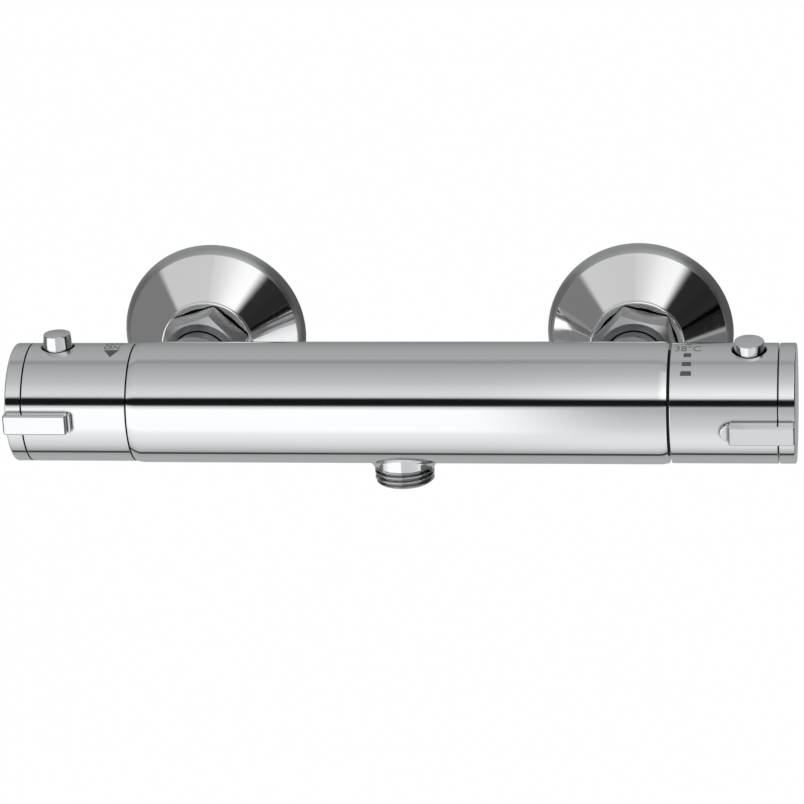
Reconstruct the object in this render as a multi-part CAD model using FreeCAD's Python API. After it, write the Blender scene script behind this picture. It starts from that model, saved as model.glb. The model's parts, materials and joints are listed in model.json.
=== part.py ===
import FreeCAD, Part
import os
from math import cos, sin, tan, asin, pi, radians, sqrt

# Exposed thermostatic shower valve: a horizontal bar with a flow knob at its left end (-X) and a
# temperature knob at its right end (+X), held off the wall by two union nuts on eccentric unions.
# Millimetres. +X runs along the bar, +Y into the wall, +Z up. The pieces are modelled round the
# bar's axis and moved at the end, so that the origin lies on the wall between the two supplies.

V = FreeCAD.Vector

# ---- the bar ----
bar_radius = 21.0           # knobs and end caps
flow_seam_gap = 0.5
temp_seam_gap = 1.0
cap_length = 5.9            # the end cap's visible rim
cap_spigot_length = 3.2
cap_seam_gap = 0.3
body_radius = 21.42
body_end_round = (3.2, 0.5)     # length of the softened end, drop at the seam
knob_wall = 2.0

# ---- the wall side ----
inlet_spacing = 160.0       # between the hot and the cold supply
bar_shift = 1.45            # the bar's middle lies this far to +X of the supplies' middle
wall_distance = 80.0        # from the wall to the bar's axis
union_offset = 3.5          # the wall thread stands this far above the nut's axis
wall_thread_length = 16.0

# ---- pipe threads: outside diameter, depth, pitch ----
half_inch_thread = (20.955, 1.16, 1.814)
three_quarter_thread = (26.441, 1.16, 1.814)

# ---- fits ----
fit = 0.05                  # radial clearance of a running or screwed fit
face_gap = 0.1              # between two faces that bear on each other
loose = 0.3                 # between pieces that pass without touching

# ---- outlet ----
outlet_neck_radius = 10.15
outlet_neck_drop = 1.58     # below the body
outlet_thread_length = 6.0
outlet_bore = 7.0
outlet_spigot_radius = 8.6
outlet_spigot_length = 3.4
outlet_fillet = 3.2

# ---- inlet bosses, tails, nuts ----
boss_radius = 12.6
boss_end = 36.0             # from the bar's axis towards the wall
tail_socket_radius = 9.6
tail_socket_start = 25.0
inlet_way = 6.0
cold_way = 4.3
cold_way_length = 7.0
tail_radius = 10.9
tail_bore = 8.0
flange_radius = 12.9
flange_length = 2.3
nut_across_flats = 29.0
nut_start = 47.5
nut_length = 13.0
nut_lip = 2.6
nut_face_radius = 13.7
washer_length = 1.5
filter_thickness = 0.5
filter_hole = 0.6
hot_nut_corner = 77.0       # degrees from +X, seen from the front
cold_nut_corner = 46.0

# ---- eccentric unions and rosettes ----
union_body_radius = 14.2
union_thread_length = 7.0
union_bore = 7.5
wall_bore = 6.5
union_step = 3.0            # the body ends this far behind the rosette's rim plane
rosette_radius = 34.4
rosette_rim = 4.2
rosette_rim_inset = 2.6
rosette_rim_bulge = 0.36
rosette_neck_radius = 17.6
rosette_neck_gap = 1.5      # between the nut and the neck
rosette_wall = 1.4
rosette_mouth = 15.2
rosette_hollow = 1.0        # how far the cone's side is drawn in

# ---- check valves ----
check_length = 14.0
check_wall = 1.35
check_web = 1.5
check_rib = 1.0
check_seat_radius = 4.6
check_seat_length = 2.7
poppet_radius = 5.8
poppet_thickness = 1.7
poppet_stem = 1.2

# ---- waterways in the body ----
centre_way = 7.0
channel_radius = 3.0
channel_from_axis = 15.4
channel_plug_length = 6.0

# ---- flow side: ceramic disc cartridge, distances outward from the bar's middle ----
flow_seat = 50.0
flow_chamber_radius = half_inch_thread[0] / 2 + fit
flow_seal_length = 3.0
fixed_disc_length = 3.0
moving_disc_length = 2.5
disc_radius = 8.1
flow_sleeve_radius = 9.6
flow_thread_length = 20.65
flow_hex_across = 22.0
flow_hex_length = 3.8
disc_room = 16.0            # length of the room for discs and spindle head
head_length = 2.4
drive_pin = (1.0, 5.0, 1.2)   # radius, distance from the axis, depth in the moving disc
window_degrees = 80.0
window_radii = (2.2, 6.0)

# ---- temperature side: thermostatic cartridge ----
temp_nose_seat = 28.0
temp_nose_length = 16.0
temp_chamber_radius = 15.0
temp_nose_bore = 11.5
nose_wall = 2.0
nose_ring_back = 8.0        # from the nose's outer end
middle_ring_gap = 8.5       # between a port and the middle ring's centre
outer_ring_gap = 6.2
ring_section = 0.8
ring_groove_depth = 1.4
ring_groove_width = 2.0
cartridge_bore = 10.2
cartridge_floor = 3.0       # between the nose and the shuttle's bore
cartridge_shoulder = 1.8    # from the outer ring's centre to the end that the nut presses on
cartridge_nut_length = 8.4  # in the body
hot_port_start = 4.5        # from the chamber's inner end
hot_port_length = 5.0
cold_port_length = 7.5
port_groove_radius = 13.2
port_width = 8.0
shuttle_inset = (1.7, 1.6)     # the hot and cold ends lie this far inside the ports' far edges
shuttle_wall = 1.5
shuttle_web_start = 9.8        # from the shuttle's hot end
shuttle_web_length = 2.0
shuttle_hole = (0.9, 7.7)      # radius, distance from the axis
element_radius = 5.0
element_length = 30.0
element_shank = 4.0            # beyond the shuttle's web
piston_radius = 1.2
piston_depth = 5.5
drive_radius = 6.0
drive_floor = 0.8
drive_thread_length = 5.0
drive_clearance = 6.5          # to the spindle's collar at rest
drive_guide_gap = 2.0          # from the cold port to the drive nut's guide
drive_key = (2.0, 1.2)         # width, height above the drive nut
drive_room = 8.2
drive_screw_radius = 3.0
spigot_radius = 9.0
cartridge_nut_across = 30.6
cartridge_nut_head = 3.0
spigot_length = 6.0            # beyond the spindle's shoulder
shoulder_reach = 2.6           # the shoulder lies this far outside the body

# ---- spindles, carriers and stops: the same on both sides ----
spindle_radius = 4.0
spindle_groove = 1.1
groove_width = 1.4
flow_groove_back = (32.5, 26.5)     # from the spindle's outer end
spindle_collar = 2.4
carrier_hub_length = 8.5
carrier_hub_gap = 1.0
carrier_disc_length = 2.4
carrier_hub_radius = 6.5
screw_radius = 2.05
screw_head_radius = 4.0
screw_head_length = 2.9
screw_depth = 7.0
stop_disc_length = 2.0
stop_ring_back = 0.7        # from the spindle's outer end
stop_ring_gap = 0.6         # inside the knob's bore
stop_ring_wall = 1.6
stop_lug_height = 2.6
stop_lug_angle = 8.0
stop_margin = 1.5           # degrees left between arm and lug at a range's end
flow_range = (0.0, 90.0)    # degrees about +X from the rest position
temp_range = (-60.0, 160.0)

# ---- levers ----
lever_length = 22.8
lever_width = 7.4
lever_height = 3.85         # above the knob
lever_bevel = 0.65
lever_corner = 0.9
lever_foot_radius = 3.3     # of the temperature lever's round foot
lever_foot_height = 1.6
lever_foot_shift = 0.4
square_foot_reach = 1.3     # the flow lever's foot runs this far past the lever's inner end
square_foot_inset = 0.3
lever_peg_radius = 1.4
lever_peg_back = (13.0, 5.0)    # from the cap's seam
flow_lever_drop = 0.9       # degrees below the horizontal at rest
temp_lever_drop = 8.9

# ---- buttons ----
button_hole_gap = 0.22
button_flange_gap = (0.8, 0.7)  # to the carrier's disc, to the cap's spigot
button_countersink = 0.8
eco_button_height = 5.1     # above the knob
eco_button_radii = (4.8, 5.25)
safety_button_height = 3.5
safety_button_radii = (5.25, 5.25)
button_chamfer = 0.45
button_flange_radius = 6.3
button_flange_depth = (3.0, 1.4)    # the flange's faces inside the knob's bore
button_stem_radius = 1.9
button_travel = 2.0
arm_width = 3.0
arm_depth = 1.7
arm_reach = 5.8             # the arm meets the stop ring over this length
arm_root_rise = 1.0         # above the flange's inner face
tray_depth = (6.4, 4.6)     # the tray's faces below the flange
tray_width = 12.0
tray_gap = 1.0              # to the cap's spigot

# ---- springs: mean radius, wire, turns ----
button_coil = (3.3, 0.5, 3)
check_coil = (3.2, 0.5, 5)
return_coil = (6.2, 1.2, 6)
overload_coil = (3.9, 0.8, 4)

# ---- derived ----
flow_side = -1
temp_side = 1
knob_bore = bar_radius - knob_wall
outlet_neck_end = body_radius + outlet_neck_drop
outlet_end = outlet_neck_end + outlet_thread_length
lever_top = bar_radius + lever_height
lever_foot_top = bar_radius + lever_foot_height
eco_button_top = bar_radius + eco_button_height
safety_button_top = bar_radius + safety_button_height
button_flange = [knob_bore - depth for depth in button_flange_depth]
tray_height = [button_flange[0] - depth for depth in tray_depth]
stop_ring_outer = knob_bore - stop_ring_gap
stop_ring_inner = stop_ring_outer - stop_ring_wall
stop_lug_radius = stop_ring_inner - stop_lug_height
temp_chamber_start = temp_nose_seat + temp_nose_length
nose_ring_at = temp_chamber_start - nose_ring_back
cartridge_bore_start = temp_chamber_start + cartridge_floor
hot_port_at = temp_chamber_start + hot_port_start
hot_port = (hot_port_at, hot_port_at + hot_port_length)
middle_ring_at = hot_port[1] + middle_ring_gap
cold_port_at = middle_ring_at + middle_ring_gap
cold_port = (cold_port_at, cold_port_at + cold_port_length)
outer_ring_at = cold_port[1] + outer_ring_gap
cartridge_end = outer_ring_at + cartridge_shoulder
body_temp_end = cartridge_end + cartridge_nut_length
knob_seam = body_temp_end + temp_seam_gap / 2
body_flow_end = knob_seam - flow_seam_gap / 2
flow_thread_start = body_flow_end - flow_thread_length
shuttle_span = (hot_port[0] + shuttle_inset[0], cold_port[1] - shuttle_inset[1])
web_start = shuttle_span[0] + shuttle_web_start
shuttle_web = (web_start, web_start + shuttle_web_length)
element_end = shuttle_web[1] + element_shank
element_span = (element_end - element_length, element_end)
spindle_stop = body_temp_end + shoulder_reach
spigot_end = spindle_stop + spigot_length
collar_start = spindle_stop - face_gap - spindle_collar
drive_end = collar_start - drive_clearance
drive_room_end = drive_end - drive_thread_length
drive_room_start = drive_room_end - drive_room
drive_start = drive_room_start - drive_floor
drive_guide = cold_port[1] + drive_guide_gap
carrier_start = spigot_end + carrier_hub_gap
spindle_end = carrier_start + carrier_hub_length
flow_grooves = [spindle_end - back for back in flow_groove_back]
carrier_disc_start = spindle_end + loose
carrier_disc = (carrier_disc_start, carrier_disc_start + carrier_disc_length)
stop_ring_end = spindle_end - stop_ring_back
arm_start = stop_ring_end - arm_reach
button_at = carrier_disc[1] + button_flange_gap[0] + button_flange_radius
cap_spigot_start = button_at + button_flange_radius + button_flange_gap[1]
cap_seam = cap_spigot_start + cap_spigot_length
bar_half_length = cap_seam + cap_length
tray_end = cap_spigot_start - tray_gap
lever_start = bar_half_length - lever_length
lever_pegs = [cap_seam - back for back in lever_peg_back]
hot_x = -bar_shift - inlet_spacing / 2
cold_x = -bar_shift + inlet_spacing / 2
nut_end = nut_start + nut_length
flange_start = nut_start + nut_lip + face_gap
tail_end = flange_start + flange_length
washer_start = tail_end + face_gap
filter_start = washer_start + washer_length + face_gap / 2
union_start = filter_start + filter_thickness + face_gap / 2
neck_plane = nut_end + rosette_neck_gap
rim_plane = wall_distance - rosette_rim
to_wall_frame = V(bar_shift, -wall_distance, -union_offset)


# ---- shape helpers ----

def facing(shape, axis):
    """Turn a shape that was made along +X to another axis."""
    turns = {
        "+x": None,
        "-x": (V(0, 0, 1), 180),
        "+y": (V(0, 0, 1), 90),
        "-y": (V(0, 0, 1), -90),
        "+z": (V(0, 1, 0), -90),
        "-z": (V(0, 1, 0), 90),
    }
    if turns[axis]:
        direction, degrees = turns[axis]
        shape.rotate(V(0, 0, 0), direction, degrees)
    return shape


def corner_arc(before, corner, after, radius):
    """The ends and middle of a round of this radius between two straight runs."""
    back = (before - corner).normalize()
    ahead = (after - corner).normalize()
    half = back.getAngle(ahead) / 2
    reach = radius / tan(half)
    bisector = (back + ahead).normalize()
    middle = corner + bisector * (radius / sin(half) - radius)
    return corner + back * reach, middle, corner + ahead * reach


def outline(points, rounds=None):
    """A closed wire through (along, radius) points; rounds gives a corner's radius by its index."""
    rounds = rounds or {}
    corners = [V(a, 0, r) for a, r in points]
    count = len(corners)
    stops = []
    for i, corner in enumerate(corners):
        if i in rounds:
            stops.append(corner_arc(corners[i - 1], corner, corners[(i + 1) % count], rounds[i]))
        else:
            stops.append((corner, None, corner))
    edges = []
    for i, (start, middle, end) in enumerate(stops):
        if middle is not None:
            edges.append(Part.Arc(start, middle, end).toShape())
        following = stops[(i + 1) % count][0]
        if end.distanceToPoint(following) > 1e-6:
            edges.append(Part.LineSegment(end, following).toShape())
    return Part.Wire(edges)


def turned(points, axis="+x", rounds=None):
    """A solid of revolution from its half section."""
    face = Part.Face(outline(points, rounds))
    return facing(face.revolve(V(0, 0, 0), V(1, 0, 0), 360), axis)


def rod(start, end, radius, axis="+x"):
    low, high = min(start, end), max(start, end)
    return facing(Part.makeCylinder(radius, high - low, V(low, 0, 0), V(1, 0, 0)), axis)


def tube(start, end, outer, inner, axis="+x"):
    return turned([(start, inner), (end, inner), (end, outer), (start, outer)], axis)


def block(x_low, x_high, y_low, y_high, z_low, z_high):
    return Part.makeBox(x_high - x_low, y_high - y_low, z_high - z_low, V(x_low, y_low, z_low))


def across(side, inner, outer):
    """The two X values, lowest first, of a stretch given as distances outward on one side."""
    return sorted((side * inner, side * outer))


def on_side(side):
    return "+x" if side > 0 else "-x"


def hexagon(start, end, across_flats, corner_degrees, axis="+x"):
    """A hexagonal prism; its first corner stands at this angle from +Z towards -Y."""
    corner = across_flats / sqrt(3)
    ring = []
    for i in range(7):
        angle = radians(corner_degrees + 60 * (i % 6))
        ring.append(V(start, -corner * sin(angle), corner * cos(angle)))
    prism = Part.Face(Part.makePolygon(ring)).extrude(V(end - start, 0, 0))
    return facing(prism, axis)


def moved(shape, x=0.0, y=0.0, z=0.0):
    shape.translate(V(x, y, z))
    return shape


def thread_rings(start, end, size):
    """Points along a ridged thread's crest line, with flat crests at the full diameter."""
    diameter, depth, pitch = size
    crest = pitch * 0.3
    flank = pitch * 0.25
    count = int((end - start) / pitch)
    points = []
    for i in range(count):
        at = start + i * pitch
        points += [
            (at, diameter / 2),
            (at + crest, diameter / 2),
            (at + crest + flank, diameter / 2 - depth),
            (at + pitch - flank, diameter / 2 - depth),
        ]
    last = start + count * pitch
    return points + [(last, diameter / 2), (end, diameter / 2)]


def arc_along(start, direction, end):
    """The arc that leaves start along a direction and reaches end."""
    chord = end - start
    cosine = direction.dot(chord) / chord.Length
    apex = start + direction * (chord.Length / (2 * cosine))
    middle = (start + apex * (2 * cosine) + end) * (1 / (2 + 2 * cosine))
    return Part.Arc(start, middle, end).toShape()


def coil(size, start, end, axis="+x"):
    """A helical compression spring between two seats, as one unbroken wire."""
    radius, wire, turns = size
    low = start + wire / 2 + face_gap
    length = end - start - wire - 2 * face_gap
    quarters = int(turns * 4)
    rise = length / (quarters * pi / 2)
    edges = []
    points = []
    for i in range(quarters + 1):
        angle = i * pi / 2
        point = V(low + rise * angle, radius * cos(angle), radius * sin(angle))
        direction = V(rise, -radius * sin(angle), radius * cos(angle)).normalize()
        points.append((point, direction))
    for (first, leaving), (second, arriving) in zip(points, points[1:]):
        gap = second - first
        both = leaving + arriving
        spread = 2 * (1 - leaving.dot(arriving))
        reach = (sqrt(gap.dot(both) ** 2 + spread * gap.dot(gap)) - gap.dot(both)) / spread
        join = (first + second + (leaving - arriving) * reach) * 0.5
        middle_way = (second - arriving * reach - first - leaving * reach).normalize()
        edges.append(arc_along(first, leaving, join))
        edges.append(arc_along(join, middle_way, second))
    path = Part.Wire(edges)
    ring = Part.Wire(Part.makeCircle(wire / 2, points[0][0], points[0][1]))
    return facing(path.makePipeShell([ring], True, False), axis)


def seal_ring(at, bore_radius, section, axis="+x", inside=True):
    """An O-ring that just reaches the wall of its bore."""
    middle = bore_radius - section if inside else bore_radius + section
    ring = Part.makeTorus(middle, section, V(at, 0, 0), V(1, 0, 0))
    return facing(ring, axis)


nodes = {}


# ---- valve body and outlet ----

def body_blank():
    """The bar with softened ends, its two inlet bosses and the outlet boss, before it is bored."""
    reach, drop = body_end_round
    sweep = asin(2 * reach * drop / (reach ** 2 + drop ** 2))
    arc_radius = reach / sin(sweep)
    half_back = arc_radius * sin(sweep / 2)
    half_down = arc_radius * (1 - cos(sweep / 2))
    left, right = -body_flow_end, body_temp_end
    edges = [
        Part.LineSegment(V(left, 0, 0), V(left, 0, body_radius - drop)),
        Part.Arc(V(left, 0, body_radius - drop),
                 V(left + reach - half_back, 0, body_radius - half_down),
                 V(left + reach, 0, body_radius)),
        Part.LineSegment(V(left + reach, 0, body_radius), V(right - reach, 0, body_radius)),
        Part.Arc(V(right - reach, 0, body_radius),
                 V(right - reach + half_back, 0, body_radius - half_down),
                 V(right, 0, body_radius - drop)),
        Part.LineSegment(V(right, 0, body_radius - drop), V(right, 0, 0)),
        Part.LineSegment(V(right, 0, 0), V(left, 0, 0)),
    ]
    wire = Part.Wire([e.toShape() for e in edges])
    bar = Part.Face(wire).revolve(V(0, 0, 0), V(1, 0, 0), 360)
    neck = rod(0, outlet_end, outlet_neck_radius, "-z")
    blank = bar.fuse(neck)
    seam = [e for e in blank.Edges if is_neck_seam(e)]
    blank = blank.makeFillet(outlet_fillet, seam)
    # the flare runs lower at the sides, round the thread
    blank = blank.cut(rod(outlet_neck_end, outlet_end + 1, half_inch_thread[0] / 2 + fit, "-z"))
    for x in (hot_x, cold_x):
        blank = blank.fuse(moved(rod(0, boss_end, boss_radius, "+y"), x))
    return blank


def is_neck_seam(edge):
    """True for the curve where the outlet neck leaves the bar."""
    box = edge.BoundBox
    under = -body_radius - 1 < box.ZMin and box.ZMax < -bar_radius / 2
    return under and box.ZLength > 0.5 and box.XMax < outlet_neck_radius + 1


def valve_body():
    body = body_blank()
    hot_depth = flow_chamber_radius + 2.0
    cuts = [
        rod(-flow_seat, temp_nose_seat, centre_way),
        rod(flow_seat, body_flow_end + 1, flow_chamber_radius, "-x"),
        rod(temp_nose_seat, temp_chamber_start, temp_nose_bore),
        rod(temp_chamber_start, body_temp_end + 1, temp_chamber_radius),
        # the hot channel runs behind the chambers to the thermostatic cartridge
        moved(rod(-body_flow_end - 1, hot_port[1], channel_radius), y=channel_from_axis),
        # the mixed water comes back along the bottom to the outlet
        moved(rod(-body_flow_end - 1, outlet_bore / 2, channel_radius), z=-channel_from_axis),
        moved(rod(0, channel_from_axis, channel_radius, "-z"), -mixed_hole_at()),
        rod(channel_from_axis - channel_radius, outlet_neck_end + 1, outlet_bore, "-z"),
        rod(outlet_neck_end - outlet_spigot_length, outlet_neck_end + 1,
            outlet_spigot_radius + fit, "-z"),
        moved(rod(hot_depth, boss_end, inlet_way, "+y"), hot_x),
        moved(rod(temp_chamber_radius - 4, boss_end, cold_way, "+y"), cold_x),
        moved(rod(temp_chamber_radius - 4 + cold_way_length, boss_end, inlet_way, "+y"), cold_x),
    ]
    for x in (hot_x, cold_x):
        cuts.append(moved(rod(tail_socket_start, boss_end + 1, tail_socket_radius, "+y"), x))
    for cut in cuts:
        body = body.cut(cut)
    return body


def mixed_hole_at():
    """Distance outward of the hole that lets mixed water out of the flow chamber."""
    return disc_stack()["head_end"] + 2.5


def channel_plugs():
    start = body_flow_end - channel_plug_length
    plugs = []
    for y, z in ((channel_from_axis, 0), (0, -channel_from_axis)):
        plugs.append(moved(rod(start, body_flow_end - face_gap, channel_radius - fit, "-x"), y=y, z=z))
    return Part.makeCompound(plugs)


def outlet_nipple():
    crest = thread_rings(outlet_neck_end + face_gap, outlet_end - 0.6, half_inch_thread)
    spigot_start = outlet_neck_end - outlet_spigot_length + face_gap
    points = [(spigot_start, outlet_bore), (spigot_start, outlet_spigot_radius)]
    points += [(outlet_neck_end + face_gap, outlet_spigot_radius)]
    points += crest
    points += [(outlet_end, half_inch_thread[0] / 2 - 0.6), (outlet_end, outlet_bore)]
    return turned(points, "-z")


# ---- inlets: tail, check valve, nut, washer, filter, union, rosette ----

def inlet_tail():
    check_start = tail_end - check_length - face_gap
    points = [
        (tail_socket_start + face_gap, inlet_way),
        (check_start, inlet_way),
        (check_start, tail_bore),
        (tail_end, tail_bore),
        (tail_end, flange_radius),
        (flange_start, flange_radius),
        (flange_start, tail_radius),
        (boss_end + face_gap, tail_radius),
        (boss_end + face_gap, tail_socket_radius - fit),
        (tail_socket_start + face_gap, tail_socket_radius - fit),
    ]
    return turned(points, "+y")


def union_nut(corner_degrees):
    inner = three_quarter_thread[0] / 2 + fit
    corner = nut_across_flats / sqrt(3)
    chamfer = (corner + 0.5 - nut_face_radius) * tan(radians(30))
    prism = hexagon(nut_start, nut_end, nut_across_flats, 90 - corner_degrees, "+y")
    envelope = turned([
        (nut_start, 0),
        (nut_start, nut_face_radius),
        (nut_start + chamfer, corner + 0.5),
        (nut_end + 1, corner + 0.5),
        (nut_end + 1, 0),
    ], "+y")
    nut = prism.common(envelope)
    nut = nut.cut(rod(nut_start - 1, nut_end + 1, tail_radius + loose, "+y"))
    return nut.cut(rod(nut_start + nut_lip, nut_end + 1, inner, "+y"))


def inlet_washer():
    return tube(washer_start, washer_start + washer_length, flange_radius, tail_bore + 0.2, "+y")


def inlet_filter():
    disc = rod(filter_start, filter_start + filter_thickness, flange_radius, "+y")
    holes = []
    for ring, count in ((0, 1), (2.2, 6), (4.4, 12), (6.4, 18)):
        for i in range(count):
            angle = 2 * pi * i / count
            hole = rod(filter_start - 1, filter_start + filter_thickness + 1, filter_hole, "+y")
            holes.append(moved(hole, ring * cos(angle), 0, ring * sin(angle)))
    return disc.cut(Part.makeCompound(holes))


def eccentric_union():
    thread_end = union_start + union_thread_length
    body_end = wall_distance - union_step
    points = [(union_start, 0)]
    points += thread_rings(union_start, thread_end, three_quarter_thread)
    points += [(thread_end, union_body_radius), (body_end, union_body_radius), (body_end, 0)]
    body = turned(points, "+y")
    tail_points = [(body_end - 4, 0), (body_end - 4, half_inch_thread[0] / 2 - half_inch_thread[1])]
    tail_points += [(wall_distance - 0.5, half_inch_thread[0] / 2 - half_inch_thread[1])]
    tail_points += thread_rings(wall_distance, wall_distance + wall_thread_length, half_inch_thread)
    tail_points += [(wall_distance + wall_thread_length, 0)]
    tail = moved(turned(tail_points, "+y"), z=union_offset)
    meeting = (union_start + body_end) / 2
    bore = rod(union_start - 1, meeting + 4, union_bore, "+y")
    far_bore = moved(rod(meeting, wall_distance + wall_thread_length + 1, wall_bore, "+y"), z=union_offset)
    return body.fuse(tail).cut(bore).cut(far_bore)


def rosette():
    """A pressed cover: turned-back rim against the wall, hollow cone, neck round the union."""
    inner_neck = union_body_radius + fit
    rim_inner = rosette_radius - rosette_rim_inset
    cone = V(neck_plane + 1.0, 0, rosette_neck_radius), V(rim_plane, 0, rim_inner)
    slope = (cone[1] - cone[0]).normalize()
    inward = V(slope.z, 0, -slope.x)
    middle = (cone[0] + cone[1]) * 0.5 + inward * rosette_hollow
    outer_edge = V(wall_distance, 0, rosette_radius)
    rim_slope = (outer_edge - cone[1]).normalize()
    rim_middle = (outer_edge + cone[1]) * 0.5 + V(-rim_slope.z, 0, rim_slope.x) * rosette_rim_bulge
    lip_front = V(neck_plane, 0, rosette_neck_radius - 1.0)
    lip_middle = V(neck_plane + 0.29, 0, rosette_neck_radius - 0.29)
    shift = inward * rosette_wall
    inside_low, inside_middle, inside_high = cone[0] + shift, middle + shift, cone[1] + shift
    skirt = rosette_radius - rosette_wall
    edges = [
        Part.LineSegment(V(wall_distance, 0, skirt), outer_edge),
        Part.Arc(outer_edge, rim_middle, cone[1]),
        Part.Arc(cone[1], middle, cone[0]),
        Part.Arc(cone[0], lip_middle, lip_front),
        Part.LineSegment(lip_front, V(neck_plane, 0, rosette_mouth)),
        Part.LineSegment(V(neck_plane, 0, rosette_mouth), V(neck_plane + 1.2, 0, inner_neck)),
        Part.LineSegment(V(neck_plane + 1.2, 0, inner_neck), V(inside_low.x + 1.0, 0, inner_neck)),
        Part.LineSegment(V(inside_low.x + 1.0, 0, inner_neck), inside_low),
        Part.Arc(inside_low, inside_middle, inside_high),
        Part.LineSegment(inside_high, V(wall_distance, 0, skirt)),
    ]
    wire = Part.Wire([e.toShape() for e in edges])
    return facing(Part.Face(wire).revolve(V(0, 0, 0), V(1, 0, 0), 360), "+y")


def check_stations():
    """Where the check valve's parts lie, from the bar's axis."""
    end = tail_end - face_gap
    start = end - check_length + face_gap
    seat = end - check_seat_length
    return {"start": start, "end": end, "seat": seat, "guide": start + check_web, "poppet": seat - face_gap}


def check_housing():
    at = check_stations()
    outer = tail_bore - fit
    shell = turned([
        (at["start"], outer - check_wall),
        (at["seat"], outer - check_wall),
        (at["seat"], check_seat_radius),
        (at["end"], check_seat_radius + 0.8),
        (at["end"], outer),
        (at["start"], outer),
    ], "+y")
    hub = rod(at["start"], at["guide"], poppet_stem + 1.2, "+y")
    spider = shell.fuse(hub)
    for i in range(3):
        rib = block(0, outer - check_wall / 2, at["start"], at["guide"], -check_rib / 2, check_rib / 2)
        rib.rotate(V(0, 0, 0), V(0, 1, 0), 120 * i)
        spider = spider.fuse(rib)
    return spider.cut(rod(at["start"] - 1, at["guide"] + 1, poppet_stem + fit, "+y"))


def check_poppet():
    at = check_stations()
    back = at["poppet"] - poppet_thickness
    return turned([
        (at["start"] - 1.0, 0),
        (at["start"] - 1.0, poppet_stem),
        (back, poppet_stem),
        (back, poppet_radius - 0.4),
        (back + 0.8, poppet_radius),
        (at["poppet"], poppet_radius),
        (at["poppet"], check_seat_radius - 0.4),
        (at["poppet"] + 0.8, check_seat_radius - 1.4),
        (at["poppet"] + 0.8, 0),
    ], "+y")


def check_spring():
    at = check_stations()
    return coil(check_coil, at["guide"], at["poppet"] - poppet_thickness, "+y")


# ---- ceramic disc cartridge of the flow side ----

def disc_stack():
    """Distances outward of the seal, the two discs and the spindle's head."""
    seal = flow_seat + face_gap
    fixed = seal + flow_seal_length + face_gap
    moving = fixed + fixed_disc_length + fit
    head = moving + moving_disc_length + 2 * face_gap
    return {"seal": seal, "fixed": fixed, "moving": moving, "head": head, "head_end": head + head_length}


def flow_seal():
    at = disc_stack()["seal"]
    return tube(at, at + flow_seal_length, disc_radius, centre_way - 1.0, "-x")


def ceramic_disc(start, length, first_degrees):
    """A disc with two openings, each less than a quarter turn wide."""
    disc = rod(start, start + length, disc_radius, "-x")
    inner, outer = window_radii
    for i in range(2):
        window = tube(-start - length - 1, -start + 1, outer, inner)
        half = block(-start - length - 2, -start + 2, -30, 30, 0, 30)
        window = window.common(half)
        half.rotate(V(0, 0, 0), V(1, 0, 0), window_degrees)
        window = window.cut(half)
        window.rotate(V(0, 0, 0), V(1, 0, 0), first_degrees + 180 * i)
        disc = disc.cut(window)
    return disc


def drive_pins(radius):
    """Two pins between the spindle's head and the moving disc, on the disc's bridges."""
    at = disc_stack()
    pins = []
    for i in range(2):
        pin = rod(at["head"] - 2 * face_gap - drive_pin[2], at["head"] + 1, radius, "-x")
        pin = moved(pin, y=drive_pin[1])
        pin.rotate(V(0, 0, 0), V(1, 0, 0), window_degrees / 2 + 180 * i)
        pins.append(pin)
    return pins


def moving_disc():
    disc = ceramic_disc(disc_stack()["moving"], moving_disc_length, 90)
    for pin in drive_pins(drive_pin[0] + fit):
        disc = disc.cut(pin)
    return disc


def flow_housing():
    at = disc_stack()
    start = at["fixed"] - 1.0
    room_end = start + disc_room
    bore = spindle_radius + fit
    hex_start = body_flow_end + 2 * face_gap + stop_disc_length
    body = turned([
        (start, disc_radius + fit),
        (room_end, disc_radius + fit),
        (room_end, bore),
        (hex_start + flow_hex_length, bore),
        (hex_start + flow_hex_length, flow_chamber_radius - fit),
        (flow_thread_start, flow_chamber_radius - fit),
        (flow_thread_start, flow_sleeve_radius),
        (start, flow_sleeve_radius),
    ], "-x")
    hex_head = hexagon(hex_start, hex_start + flow_hex_length, flow_hex_across, 0, "-x")
    hex_head = hex_head.cut(rod(hex_start - 1, hex_start + flow_hex_length + 1, bore, "-x"))
    body = body.fuse(hex_head)
    low, high = across(flow_side, at["head_end"] + 0.4, room_end - 0.4)
    for window in (block(low, high, -4, 4, -12, 12), block(low, high, -12, 12, -4, 4)):
        body = body.cut(window)
    return body


def spindle_tip(points_start, radius):
    """Half section of a spindle's outer end, with its seal groove and tapped hole."""
    return points_start + [
        (spindle_end, radius),
        (spindle_end, screw_radius + fit),
        (spindle_end - screw_depth, screw_radius + fit),
        (spindle_end - screw_depth, 0),
    ]


def flow_spindle():
    at = disc_stack()
    floor = spindle_radius - spindle_groove
    points = [(at["head"], 0), (at["head"], disc_radius - 0.7), (at["head_end"], disc_radius - 0.7),
              (at["head_end"], spindle_radius)]
    for groove in flow_grooves:
        points += [(groove, spindle_radius), (groove, floor),
                   (groove + groove_width, floor), (groove + groove_width, spindle_radius)]
    spindle = turned(spindle_tip(points, spindle_radius), "-x")
    for pin in drive_pins(drive_pin[0]):
        spindle = spindle.fuse(pin)
    return spindle


def flow_o_rings():
    section = (spindle_groove + fit) / 2
    rings = []
    for groove in flow_grooves:
        rings.append(seal_ring(groove + groove_width / 2, spindle_radius + fit, section, "-x"))
    return Part.makeCompound(rings)


# ---- thermostatic cartridge ----

def groove_points(at, radius):
    """Half section of a seal groove in a cylinder of this radius."""
    half = ring_groove_width / 2
    floor = radius - ring_groove_depth
    return [(at - half, radius), (at - half, floor), (at + half, floor), (at + half, radius)]


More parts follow.
